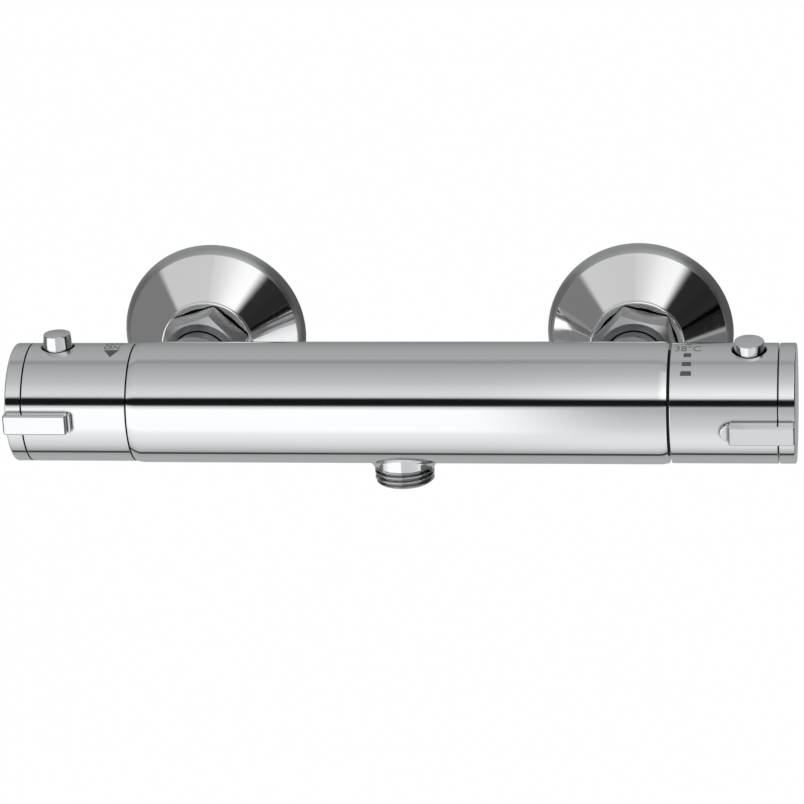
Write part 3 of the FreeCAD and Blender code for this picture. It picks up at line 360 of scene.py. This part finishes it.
# The bar's skin, with the softened ends that catch a light line beside each joint.
def addBar():
    drop, length, radius = bar["endDrop"], bar["endLength"], bar["radius"]
    left, right = bar["left"], bar["right"]
    sweep = asin(2 * length * drop / (length ** 2 + drop ** 2))
    arc = length / sin(sweep)
    leftEnd, rightEnd = [], []
    for i in range(9):
        angle = sweep * (1 - i / 8)
        back, down = arc * sin(angle), arc * (1 - cos(angle))
        leftEnd.append((left + length - back, radius - down))
        rightEnd.append((right - length + back, radius - down))
    rows = 60
    straight = right - left - 2 * length
    middle = [(left + length + straight * i / rows, radius) for i in range(1, rows)]
    corners = [(left, bar["flowBore"])] + leftEnd + middle + rightEnd[::-1]
    corners += [(right, bar["tempBore"]), (bar["mixBoreEnd"], bar["tempBore"]),
                (bar["mixBoreEnd"], bar["mixBore"]), (bar["centreWayEnd"], bar["mixBore"]),
                (bar["centreWayEnd"], bar["centreWay"]), (bar["flowBoreEnd"], bar["centreWay"]),
                (bar["flowBoreEnd"], bar["flowBore"])]
    return addLathe("bar", corners, "x", (0, 0, 0), "valve", "chromePlatedBrass",
                    ("valve_body",), segments=320, smoothBelow=25)


outlet = {"neck": 10.15, "flare": (0.03, 4.4), "neckEnd": 23.0, "threadRadius": 10.4775,
          "threadDepth": 1.16, "pitch": 1.814, "end": 29.0, "bore": 7.0, "top": 18.6,
          "socket": 8.65, "gap": 0.05, "runOut": 0.5, "chamfer": 0.9, "rootFlat": 1.15,
          "crestFlat": 0.1}


# A point round the outlet's axis.
def ringPoint(radius, angle, z):
    return Vector((radius * cos(angle), radius * sin(angle), z))


# The neck under the bar with its flare, which runs lower at the sides than at the front.
def addOutletNeck():
    neck, low, radius = outlet["neck"], -outlet["neckEnd"], bar["radius"]
    clear = outlet["threadRadius"] + outlet["gap"]
    segments, steps = 192, 14
    points, faces = [], []
    for i in range(segments):
        angle = 2 * pi * i / segments
        front, beside = outlet["flare"]
        flare = front + (beside - front) * cos(angle) ** 4
        centre = ringPoint(neck + flare, angle, 0)
        centre.z = -sqrt((radius + flare) ** 2 - centre.y ** 2)
        share = radius / (radius + flare)
        onBar = Vector((centre.x, centre.y * share, centre.z * share))
        start = (onBar - centre).normalized()
        end = (ringPoint(neck, angle, centre.z) - centre).normalized()
        sweep = start.angle(end)
        column = []
        for k in range(steps + 1):
            t = k / steps
            mix = (start * sin((1 - t) * sweep) + end * sin(t * sweep)) / sin(sweep)
            column.append(centre + mix * flare)
        if centre.z > low:
            column.append(ringPoint(neck, angle, low))
        else:
            # a flare that would reach into the thread passes just outside it
            for k, p in enumerate(column):
                if p.z < low and sqrt(p.x ** 2 + p.y ** 2) < clear:
                    column[k] = ringPoint(clear, angle, p.z)
            column.append(ringPoint(clear, angle, low))
        column.append(ringPoint(outlet["socket"], angle, low))
        column.append(ringPoint(outlet["socket"], angle, -outlet["top"]))
        points += [tuple(p) for p in column]
    rows = steps + 4
    for i in range(segments):
        here, there = i * rows, (i + 1) % segments * rows
        for k in range(rows - 1):
            faces.append((here + k, here + k + 1, there + k + 1, there + k))
    return addPiece("outletNeck", points, faces, "valve", "chromePlatedNeck",
                    smoothBelow=35)


# A helical pipe thread between two planes, with a chamfer at the free end.
def addThread(name, axis, origin, start, end, radius, bore, body, material, replaced, away):
    pitch, depth = outlet["pitch"], outlet["threadDepth"]
    segments, rows = 160, int((end - start) / pitch * 20)
    points, faces = [], []
    for i in range(segments):
        angle = 2 * pi * i / segments
        for k in range(rows + 1):
            along = start + (end - start) * k / rows
            phase = (along / pitch + angle / (2 * pi)) % 1
            wave = 0.5 + 0.5 * cos(2 * pi * phase)
            cut = depth * min(1.0, max(0.0, outlet["rootFlat"] * wave - outlet["crestFlat"]))
            cut *= min(1.0, (along - start) / outlet["runOut"])
            cut = max(cut, outlet["chamfer"] - (end - along))
            points.append(placeOn(axis, origin, away * along, radius - cut, angle))
        points.append(placeOn(axis, origin, away * end, bore, angle))
        points.append(placeOn(axis, origin, away * start, bore, angle))
    count = rows + 3
    for i in range(segments):
        here, there = i * count, (i + 1) % segments * count
        for k in range(count):
            n = (k + 1) % count
            faces.append((here + k, here + n, there + n, there + k))
    faces = orientOut(faces, points)
    return addPiece(name, points, faces, body, material, replaced, smoothBelow=50)


print("bar and outlet")
addBar()
addOutletNeck()
addThread("outletNipple", "z", (0, 0, 0), outlet["neckEnd"], outlet["end"], outlet["threadRadius"],
          outlet["bore"], "valve", "chromePlatedThread", ("outlet_nipple",), -1)

inletBoss = {"start": 17.0, "end": 36.0, "bore": 9.6, "radius": 12.6, "edge": 0.4}

for side, x in supplyX.items():
    bossCorners = [(inletBoss["start"], inletBoss["bore"]), (inletBoss["end"], inletBoss["bore"]),
                   (inletBoss["end"], inletBoss["radius"], inletBoss["edge"]),
                   (inletBoss["start"], inletBoss["radius"])]
    addLathe(side + "InletBoss", bossCorners, "y", (x, 0, 0), "valve",
             "chromePlatedMilledBrass", segments=160)

rosette = {"front": 62.0, "wall": 80.0, "rim": 75.8, "radius": 34.4, "inset": 2.6,
           "bulge": 0.36, "lip": 1.0, "neck": 17.6, "mouth": 15.2, "mouthEnd": 1.2,
           "sleeve": 14.25, "sleeveEnd": 3.4, "thickness": 1.4}


# The wall cover: neck lip, hollow cone and rolled rim in one turned skin.
def addRosette(side, x):
    r = rosette
    lipTop = Vector((r["front"] + r["lip"], r["neck"]))
    rimTop = Vector((r["rim"], r["radius"] - r["inset"]))
    slope = (rimTop - lipTop).normalized()
    inward = Vector((slope.y, -slope.x))
    cone, inside = [], []
    for i in range(25):
        t = i / 24
        cone.append(tuple(lipTop.lerp(rimTop, t)))
        inside.append(tuple(lipTop.lerp(rimTop, t) + inward * r["thickness"]))
    lip = []
    for i in range(7):
        angle = radians(15 * i)
        lip.append((r["front"] + r["lip"] * (1 - sin(angle)), r["neck"] - r["lip"] * (1 - cos(angle))))
    edge = Vector((r["wall"], r["radius"]))
    along = (edge - rimTop).normalized()
    outward = Vector((-along.y, along.x))
    rim = []
    for i in range(1, 13):
        t = i / 12
        rim.append(tuple(rimTop.lerp(edge, t) + outward * (r["bulge"] * 4 * t * (1 - t))))
    skirt = r["radius"] - r["thickness"]
    corners = lip[::-1][:-1] + cone + rim + [(r["wall"], skirt)] + inside[::-1]
    corners += [(r["front"] + r["sleeveEnd"], r["sleeve"]),
                (r["front"] + r["mouthEnd"], r["sleeve"]), (r["front"], r["mouth"])]
    cover = addLathe(side + "Rosette", corners, "y", (x, 0, 0), "valve",
                     "chromePlatedSteel", (side + "_rosette",), segments=256, smoothBelow=40)
    cover.data.materials.append(materials["brushedChromeRim"])
    centreX, rimStart, centreZ = toFrame((x, r["rim"] + 0.02, 0))
    for face in cover.data.polygons:
        outward = Vector((face.center.x - centreX, 0, face.center.z - centreZ))
        if face.center.y > rimStart and face.normal.dot(outward) > 0:
            face.material_index = 1


print("rosettes")
for side, x in supplyX.items():
    addRosette(side, x)

# left the flow knob, right the temperature knob; drop is how many degrees the lever and marks
# stand below their made position
knobs = {
    "flow": {"side": -1, "start": 95.15, "drop": 0.9, "body": "flow_control", "top": 26.1,
             "head": 4.8, "foot": 5.25, "button": "eco_button", "buttonBody": "eco_button_body",
             "squareFoot": (1.3, 0.3)},
    "temp": {"side": 1, "start": 95.4, "drop": 8.9, "body": "temp_control", "top": 24.5,
             "head": 5.25, "foot": 5.25, "button": "safety_button",
             "buttonBody": "safety_button_body", "roundFoot": (3.3, 0.4)},
}
knobShape = {"radius": 21.0, "wall": 2.0, "seam": 132.3, "end": 138.4, "capStart": 132.72,
             "capEdge": 0.7, "edge": 0.22, "buttonAt": 122.3, "holeGap": 0.42, "sink": 0.6,
             "dome": 0.35, "capSkirt": 129.3, "capFace": 136.2, "capWall": 2.0, "capGap": 0.05,
             "capLowEdge": 0.15, "lever": (115.6, 138.4, 7.4, 24.85), "leverSink": 1.2,
             "bevel": 0.65, "footBevel": 0.4, "corner": 0.9, "footTop": 22.6, "footSink": 1.5,
             "footEdge": 0.5, "footOverlap": 2.0}
# the parts of a button below the shell: flange, arm, the arm's root and the spring's stem
buttonShape = {"flangeLow": 16.0, "flangeTop": 17.6, "flange": 6.3, "flangeEdge": 0.15,
               "headEdge": 0.45, "faceRim": 0.6, "armStart": 106.0, "armTop": 16.1,
               "rootStart": 112.4, "rootTop": 17.0, "armOverlap": 4.1, "armHalf": 1.5,
               "armLow": 14.4, "stemLow": 9.0, "stemTop": 16.1, "stem": 1.9, "stemEdge": 0.3}


# Cuts the countersunk button hole through the shell's wall, with a cutter that is turned in place.
def cutHole(piece, centreX, holeRadius, drop, material):
    k = knobShape
    cutterLow, cutterTop = k["radius"] - 3 * k["wall"], k["radius"] + 1
    corners = [(cutterLow, 0), (cutterLow, holeRadius), (k["radius"] - k["sink"], holeRadius),
               (cutterTop, holeRadius + k["sink"] + 1), (cutterTop, 0)]
    points, faces = lathePoints(corners, "z", (centreX, 0, 0), 96)
    points = turnPoints(points, drop)
    mesh = bpy.data.meshes.new("holeCutter")
    mesh.from_pydata([toFrame(p) for p in points], [], orientOut(faces, points))
    cutter = bpy.data.objects.new("holeCutter", mesh)
    bpy.context.scene.collection.objects.link(cutter)
    modifier = piece.modifiers.new("hole", "BOOLEAN")
    modifier.object = cutter
    modifier.operation = "DIFFERENCE"
    modifier.solver = "EXACT"
    graph = bpy.context.evaluated_depsgraph_get()
    made = bpy.data.meshes.new_from_object(piece.evaluated_get(graph))
    piece.modifiers.clear()
    piece.data = made
    bpy.data.objects.remove(cutter)
    made.materials.clear()
    made.materials.append(materials[material])
    made.shade_smooth()
    made.set_sharp_from_angle(angle=radians(30))
    trueNormals(piece, k["radius"])


# Gives the faces of the knob's outer cylinder their exact normals.
def trueNormals(piece, radius):
    mesh = piece.data
    centreY, centreZ = toFrame((0, 0, 0))[1:]
    normals = [Vector(n.vector) for n in mesh.corner_normals]
    for face in mesh.polygons:
        outward = []
        for v in face.vertices:
            co = mesh.vertices[v].co
            outward.append(Vector((0, co.y - centreY, co.z - centreZ)))
        onSkin = all(abs(n.length - radius / 1000) < 2e-5 for n in outward)
        if onSkin and face.normal.dot(sum(outward, Vector()).normalized()) > 0.99:
            for loop, normal in zip(face.loop_indices, outward):
                normals[loop] = normal.normalized()
    mesh.normals_split_custom_set([tuple(n) for n in normals])


# A knob's shell with its button hole, its end cap, lever and button.
def addKnob(name, knob):
    k = knobShape
    side, drop, body = knob["side"], knob["drop"], knob["body"]
    start, end, edge = knob["start"], k["seam"], k["edge"]
    inner = k["radius"] - k["wall"]
    corners = [(side * start, inner), (side * end, inner), (side * end, k["radius"], edge),
               (side * start, k["radius"], edge)]
    shell = addLathe(name + "KnobShell", corners, "x", (0, 0, 0), body,
                     "chromePlatedAbs", (name + "_knob",), drop, steps=4)
    centreX = side * k["buttonAt"]
    cutHole(shell, centreX, max(knob["head"], knob["foot"]) + k["holeGap"], drop, "chromePlatedAbs")
    ring = inner - k["capGap"]
    hollow = ring - k["capWall"]
    cap = [(side * k["capSkirt"], hollow), (side * k["capFace"], hollow), (side * k["capFace"], 0),
           (side * k["end"], 0), (side * k["end"], k["radius"], k["capEdge"]),
           (side * k["capStart"], k["radius"], k["capLowEdge"]), (side * k["capStart"], ring),
           (side * k["capSkirt"], ring)]
    addLathe(name + "EndCap", cap, "x", (0, 0, 0), body, "chromePlatedAbs",
             (name + "_end_cap",), drop, steps=5)
    addLever(name, knob)
    addButton(name, knob)


# A bar with rounded upright corners and a flat bevel round its outer face.
def bevelledPrism(low, high, half, bottom, top, bevel, corner, steps=5):
    # small steps that soften the two edges of the bevel
    across, down, smallestCorner = 0.06, 0.02, 0.08
    loops = []
    for inset, height in ((0, bottom), (0, top - bevel), (across, top - bevel + down),
                          (bevel - across, top - down), (bevel, top)):
        loop = []
        radius = max(corner - inset, smallestCorner)
        for cx, cz, first in ((high - inset - radius, half - inset - radius, 0),
                              (low + inset + radius, half - inset - radius, 90),
                              (low + inset + radius, -half + inset + radius, 180),
                              (high - inset - radius, -half + inset + radius, 270)):
            for i in range(steps + 1):
                angle = radians(first + 90 * i / steps)
                loop.append((cx + radius * cos(angle), -height, cz + radius * sin(angle)))
        loops.append(loop)
    points = [p for loop in loops for p in loop]
    count = len(loops[0])
    faces = []
    for j in range(len(loops) - 1):
        for i in range(count):
            n = (i + 1) % count
            faces.append((j * count + i, j * count + n, (j + 1) * count + n, (j + 1) * count + i))
    faces.append(tuple(range(count)))
    faces.append(tuple((len(loops) - 1) * count + i for i in reversed(range(count))))
    return points, orientOut(faces, points)


# The flat lever on the knob's front, and the square or round foot at its inner end.
def addLever(name, knob):
    k = knobShape
    side, drop = knob["side"], knob["drop"]
    start, end, width, top = k["lever"]
    low, high = sorted((side * start, side * end))
    bottom = k["radius"] - k["leverSink"]
    points, faces = bevelledPrism(low, high, width / 2, bottom, top, k["bevel"], k["corner"])
    addPiece(name + "Lever", turnPoints(points, drop), faces, knob["body"],
             "chromePlatedAbs", (name + "_lever",), smoothBelow=25)
    if "squareFoot" in knob:
        reach, inset = knob["squareFoot"]
        low, high = sorted((side * (start - reach), side * (start + k["footOverlap"])))
        points, faces = bevelledPrism(low, high, width / 2 - inset, bottom, k["footTop"],
                                      k["footBevel"], k["corner"])
        addPiece(name + "LeverFoot", turnPoints(points, drop), faces, knob["body"],
                 "chromePlatedAbs", smoothBelow=25)
        return
    radius, shift = knob["roundFoot"]
    bottom = k["radius"] - k["footSink"]
    foot = [(bottom, 0), (k["footTop"], 0), (k["footTop"], radius, k["footEdge"]),
            (bottom, radius)]
    profile = [(-p[0], p[1]) for p in supported(roundedProfile(foot, 5))]
    points, faces = lathePoints(profile, "y", (side * (start + shift), 0, 0), 96)
    faces = orientOut(faces, points)
    addPiece(name + "LeverFoot", turnPoints(points, drop), faces, knob["body"],
             "chromePlatedAbs")


# The round push button; its stem, arm and flange sit out of sight below the shell.
def addButton(name, knob):
    k, b = knobShape, buttonShape
    side = knob["side"]
    corners = [(b["flangeLow"], 0), (b["flangeLow"], b["flange"], b["flangeEdge"]),
               (b["flangeTop"], b["flange"], b["flangeEdge"]), (b["flangeTop"], knob["foot"]),
               (k["radius"], knob["foot"]), (knob["top"] - k["dome"], knob["head"], b["headEdge"])]
    for i in range(1, 9):
        inward = 1 - i / 8
        corners.append((knob["top"] - k["dome"] * inward ** 2, (knob["head"] - b["faceRim"]) * inward))
    addLathe(name + "Button", corners, "z", (side * k["buttonAt"], 0, 0), knob["buttonBody"],
             "chromePlatedAbs", (knob["button"],), knob["drop"], segments=128)
    for label, first, top in (("Arm", b["armStart"], b["armTop"]),
                              ("ArmRoot", b["rootStart"], b["rootTop"])):
        arm = sorted((side * first, side * (k["buttonAt"] - b["armOverlap"])))
        width = (-b["armHalf"], b["armHalf"])
        box = [(x, y, z) for x in arm for y in width for z in (b["armLow"], top)]
        faces = [(0, 1, 3, 2), (4, 6, 7, 5), (0, 4, 5, 1), (2, 3, 7, 6), (0, 2, 6, 4), (1, 5, 7, 3)]
        addPiece(name + "Button" + label, turnPoints(box, knob["drop"]), faces,
                 knob["buttonBody"], "chromePlatedAbs")
    stem = [(b["stemLow"], 0), (b["stemLow"], b["stem"], b["stemEdge"]),
            (b["stemTop"], b["stem"]), (b["stemTop"], 0)]
    addLathe(name + "ButtonStem", stem, "z", (side * k["buttonAt"], 0, 0), knob["buttonBody"],
             "chromePlatedAbs", (), knob["drop"], segments=64)


print("knobs")
for name, knob in knobs.items():
    addKnob(name, knob)

film = {"height": 0.03, "radius": 21.0}
# x along the bar in mm; angles round it in degrees, 0 towards the user and 90 up
marks = {
    "markOn": {"text": "ON", "body": "flow_control", "edges": (-105.2, -99.6),
               "angles": (89.0, 81.6), "ink": "padPrintedInk", "thin": 0.0},
    "markOff": {"text": "OFF", "body": "flow_control", "edges": (-105.4, -98.9),
                "angles": (100.0, 92.2), "ink": "padPrintedInk", "thin": 0.0},
    "markArrow": {"body": "flow_control", "top": (-104.9, -99.3), "low": (-101.95, -101.85),
                  "angles": (79.4, 67.7)},
    "mark38": {"text": "38°C", "body": "temp_control", "edges": (96.8, 105.7),
               "angles": (88.5, 77.2), "ink": "thinPadPrintedInk", "thin": 0.012},
    "markDot": {"body": "temp_control", "top": (100.4, 102.3), "low": (100.4, 102.3),
                "angles": (97.0, 93.6)},
    "markBarA": {"body": "temp_control", "top": (100.0, 102.5), "low": (99.9, 102.5),
                 "angles": (73.6, 68.0)},
    "markBarB": {"body": "temp_control", "top": (99.6, 102.6), "low": (99.5, 102.7),
                 "angles": (61.0, 56.3)},
    "markBarC": {"body": "temp_control", "top": (99.2, 102.7), "low": (99.0, 102.8),
                 "angles": (50.3, 45.4)},
}


# Flat (x, angle) points laid on the knob's cylinder as a thin printed film.
def addMark(flat, faces, name, body, ink="padPrintedInk"):
    radius = film["radius"] + film["height"]
    points = []
    for x, angle in flat:
        points.append((x, -radius * cos(radians(angle)), radius * sin(radians(angle))))
    addPiece(name, points, faces, body, ink, smoothBelow=40)


# A printed shape between a left and a right edge, each given at its top and bottom angle.
def addPatch(name, mark, rows=8):
    (topLeft, topRight), (lowLeft, lowRight) = mark["top"], mark["low"]
    topAngle, lowAngle = mark["angles"]
    flat, faces = [], []
    for i in range(rows + 1):
        t = i / rows
        left = topLeft + (lowLeft - topLeft) * t
        right = topRight + (lowRight - topRight) * t
        angle = topAngle + (lowAngle - topAngle) * t
        flat += [(left, angle), (right, angle)]
    for i in range(rows):
        faces.append((2 * i, 2 * i + 2, 2 * i + 3, 2 * i + 1))
    addMark(flat, faces, name, mark["body"])


# Letters from the built-in font, fitted between these edges.
def addText(name, mark):
    (left, right), (topAngle, lowAngle) = mark["edges"], mark["angles"]
    curve = bpy.data.curves.new(name, "FONT")
    curve.body = mark["text"]
    curve.size = 1.0
    curve.resolution_u = 6
    curve.offset = -mark["thin"]
    letters = bpy.data.objects.new(name, curve)
    bpy.context.scene.collection.objects.link(letters)
    graph = bpy.context.evaluated_depsgraph_get()
    mesh = bpy.data.meshes.new_from_object(letters.evaluated_get(graph))
    bpy.data.objects.remove(letters)
    lowX, highX = min(v.co.x for v in mesh.vertices), max(v.co.x for v in mesh.vertices)
    lowY, highY = min(v.co.y for v in mesh.vertices), max(v.co.y for v in mesh.vertices)
    flat = []
    for v in mesh.vertices:
        u = (v.co.x - lowX) / (highX - lowX)
        w = (v.co.y - lowY) / (highY - lowY)
        flat.append((left + (right - left) * u, lowAngle + (topAngle - lowAngle) * w))
    faces = [tuple(face.vertices) for face in mesh.polygons]
    addMark(flat, faces, name, mark["body"], mark["ink"])


print("printed marks")
for name, mark in marks.items():
    if "text" in mark:
        addText(name, mark)
    else:
        addPatch(name, mark)

print("stage")
# Pale matt floor, white to the camera, keeping a share of the light that falls on it.
floorLook = {"colour": "#f2f2f2", "roughness": 0.9, "cameraShare": 0.9, "cameraGlow": 1.06,
             "half": 6, "height": -1.2}
floorMaterial, floorTree, floorShader = newMaterial("paleFloor")
floorShader.inputs["Base Color"].default_value = linear(floorLook["colour"])
floorShader.inputs["Roughness"].default_value = floorLook["roughness"]
floorSeen = addNode(floorTree, "LightPath").outputs["Is Camera Ray"]
floorShare = addNode(floorTree, "Math", {"operation": "MULTIPLY"}, i0=floorSeen,
                     i1=floorLook["cameraShare"])
floorGlow = addNode(floorTree, "Emission", None, Color=(1, 1, 1, 1),
                    Strength=floorLook["cameraGlow"])
floorMix = addNode(floorTree, "MixShader", None, i0=floorShare.outputs[0],
                   i1=floorShader.outputs[0], i2=floorGlow.outputs[0])
floorOutput = next(n for n in floorTree.nodes if n.type == "OUTPUT_MATERIAL")
floorTree.links.new(floorMix.outputs[0], floorOutput.inputs["Surface"])
floorMesh = bpy.data.meshes.new("floor")
half = floorLook["half"]
floorCorners = [(x * half, y * half, floorLook["height"])
                for x, y in ((-1, -1), (1, -1), (1, 1), (-1, 1))]
floorMesh.from_pydata(floorCorners, [], [(0, 1, 2, 3)])
floorMesh.materials.append(floorMaterial)
floor = bpy.data.objects.new("floor", floorMesh)
bpy.context.scene.collection.objects.link(floor)
floor.visible_glossy = False

studio = {
    # brightness against the elevation, in degrees, of the light's direction: 0 is towards the
    # user, 90 overhead, 180 the wall; the dark gap at 18 is the room behind the user
    "left": ((-180, 0.28), (-150, 0.44), (-117, 0.50), (-100.5, 0.46), (-98.5, 0.06), (-94, 0.06),
             (-91, 0.50), (-75, 0.80), (-60, 0.97), (-45, 1.08), (-35, 1.28), (4, 1.3), (10, 0.8),
             (12.5, 0.05), (15, 0.01), (25, 0.01), (29, 0.82), (34, 0.88), (45, 0.79),
             (56, 0.66), (72, 0.57), (94, 0.46), (100, 0.37), (104, 0.37), (110, 0.50),
             (125, 0.49), (150, 0.42), (165, 0.34), (180, 0.28)),
    "right": ((-180, 0.28), (-150, 0.44), (-117, 0.50), (-100.5, 0.46), (-98.5, 0.05), (-94, 0.05),
              (-91, 0.53), (-75, 0.90), (-60, 0.99), (-45, 0.94), (-37, 0.86), (-28, 0.78),
              (-12, 0.68), (3, 0.56), (10, 0.55), (12.5, 0.06), (15, 0.01), (23.5, 0.01),
              (27.5, 0.95), (34, 1.08), (45, 0.93), (56, 0.76), (72, 0.60), (94, 0.50),
              (100, 0.40), (104, 0.40), (110, 0.50), (125, 0.49), (150, 0.42), (165, 0.34),
              (180, 0.28)),
    "changeAt": (-0.125, -0.075),
    "strength": 1.0,
    # beside the set: a grey wall far left, a brighter panel above right, the dark far right and
    # the dim room behind right
    "leftWall": 0.195, "rightGain": 1.4, "rightDark": 0.02, "rightBehind": 0.15,
    # where they begin: the stretch of the light direction's x, y or z over which each fades in
    "front": (-0.1, -0.16), "behind": (-0.14, 0.0), "high": (0.3, 0.5), "above": (0.05, 0.2),
    "low": (-0.17, -0.27), "leftEdge": (-0.79, -0.85), "rightEdge": (0.54, 0.7),
    "roomEdge": (0.5, 0.6), "panelEdge": (-0.1, 0.45),
    # walls that lean: the share of z that is added to y, and the stretch of the sum
    "leftLean": 0.8, "leftSlant": (-0.32, -0.25), "rightLean": 0.2, "rightSlant": (-0.33, -0.28),
}


def softStep(tree, value, low, high):
    node = addNode(tree, "MapRange", {"interpolation_type": "SMOOTHSTEP"}, Value=value)
    node.inputs["From Min"].default_value = low
    node.inputs["From Max"].default_value = high
    return node.outputs["Result"]


# y with this share of z added, for a wall that leans.
def leaning(tree, y, z, share):
    return addNode(tree, "Math", {"operation": "MULTIPLY_ADD"}, i0=z, i1=share, i2=y).outputs[0]


def times(tree, first, second):
    return addNode(tree, "Math", {"operation": "MULTIPLY"}, i0=first, i1=second).outputs[0]


# 1 where share is 0 and value where share is 1.
def scaledTo(tree, share, value):
    node = addNode(tree, "MapRange", None, Value=share)
    node.inputs["To Min"].default_value = 1.0
    node.inputs["To Max"].default_value = value
    return node.outputs["Result"]


# Soft studio surround: light panels above and below, white behind the object.
def addWorld():
    world = bpy.data.worlds.new("studio")
    bpy.context.scene.world = world
    world.use_nodes = True
    tree = world.node_tree
    tree.nodes.clear()
    direction = addNode(tree, "TexCoord").outputs["Generated"]
    parts = addNode(tree, "SeparateXYZ", None, Vector=direction)
    away = addNode(tree, "Math", {"operation": "MULTIPLY"}, i0=parts.outputs["Y"], i1=-1.0)
    angle = addNode(tree, "Math", {"operation": "ARCTAN2"}, i0=parts.outputs["Z"],
                    i1=away.outputs[0])
    turn = addNode(tree, "Math", {"operation": "MULTIPLY_ADD"}, i0=angle.outputs[0],
                   i1=1 / (2 * pi), i2=0.5)
    colours = []
    for key in ("left", "right"):
        stops = [(elevation / 360 + 0.5, value) for elevation, value in studio[key]]
        colours.append(ramp(tree, turn.outputs[0], stops))
    x, y, z = (parts.outputs[k] for k in "XYZ")
    change = softStep(tree, x, *studio["changeAt"])
    panels = addNode(tree, "Mix", {"data_type": "RGBA"}, Factor=change, i6=colours[0],
                     i7=colours[1])
    front = softStep(tree, y, *studio["front"])
    behind = softStep(tree, y, *studio["behind"])
    high = softStep(tree, z, *studio["high"])
    low = softStep(tree, z, *studio["low"])
    notLow = softStep(tree, z, *reversed(studio["low"]))
    leftSlant = softStep(tree, leaning(tree, y, z, studio["leftLean"]), *studio["leftSlant"])
    leftWall = times(tree, leftSlant, softStep(tree, x, *studio["leftEdge"]))
    beside = softStep(tree, leaning(tree, y, z, studio["rightLean"]), *studio["rightSlant"])
    farRight = softStep(tree, x, *studio["rightEdge"])
    lowRight = times(tree, times(tree, farRight, beside), low)
    darkAbove = addNode(tree, "Math", {"operation": "MAXIMUM"},
                        i0=softStep(tree, z, *studio["above"]),
                        i1=times(tree, beside, notLow)).outputs[0]
    darkAbove = times(tree, farRight, darkAbove)
    roomBehind = times(tree, behind, softStep(tree, x, *studio["roomEdge"]))
    roomBehind = addNode(tree, "Math", {"operation": "MAXIMUM"}, i0=roomBehind,
                         i1=lowRight).outputs[0]
    strength = scaledTo(tree, darkAbove, studio["rightDark"])
    rightPanel = times(tree, times(tree, softStep(tree, x, *studio["panelEdge"]), high), front)
    strength = times(tree, strength, scaledTo(tree, rightPanel, studio["rightGain"]))
    grey = (studio["leftWall"],) * 3 + (1,)
    scaled = addNode(tree, "VectorMath", {"operation": "SCALE"}, i0=panels.outputs[2],
                     Scale=times(tree, strength, studio["strength"])).outputs[0]
    surround = addNode(tree, "Mix", {"data_type": "RGBA"}, Factor=leftWall, i6=scaled, i7=grey)
    dim = (studio["rightBehind"],) * 3 + (1,)
    surround = addNode(tree, "Mix", {"data_type": "RGBA"}, Factor=roomBehind,
                       i6=surround.outputs[2], i7=dim)
    light = addNode(tree, "Background", None, Color=surround.outputs[2], Strength=1.0)
    white = addNode(tree, "Background", None, Color=(1, 1, 1, 1), Strength=1.0)
    seen = addNode(tree, "LightPath").outputs["Is Camera Ray"]
    mixed = addNode(tree, "MixShader", None, i0=seen, i1=light.outputs[0], i2=white.outputs[0])
    output = tree.nodes.new("ShaderNodeOutputWorld")
    tree.links.new(mixed.outputs[0], output.inputs["Surface"])


addWorld()

camera = {"position": (174.9324, -1163.1076, 402.6012), "right": (0.99006, 0.13354, -0.04414),
          "up": (-0.00194, 0.32674, 0.94511), "back": (0.14063, -0.93563, 0.32375), "lens": 158.05,
          "sensor": 36.0, "clip": (0.05, 50.0)}
cameraData = bpy.data.cameras.new("camera")
cameraData.lens = camera["lens"]
cameraData.sensor_width = camera["sensor"]
cameraData.clip_start, cameraData.clip_end = camera["clip"]
cameraObject = bpy.data.objects.new("camera", cameraData)
bpy.context.scene.collection.objects.link(cameraObject)
axes = Matrix((camera["right"], camera["up"], camera["back"])).transposed().to_4x4()
cameraObject.matrix_world = Matrix.Translation(Vector(toFrame(camera["position"]))) @ axes
bpy.context.scene.camera = cameraObject
bpy.context.scene.view_settings.view_transform = "Standard"

print("done")
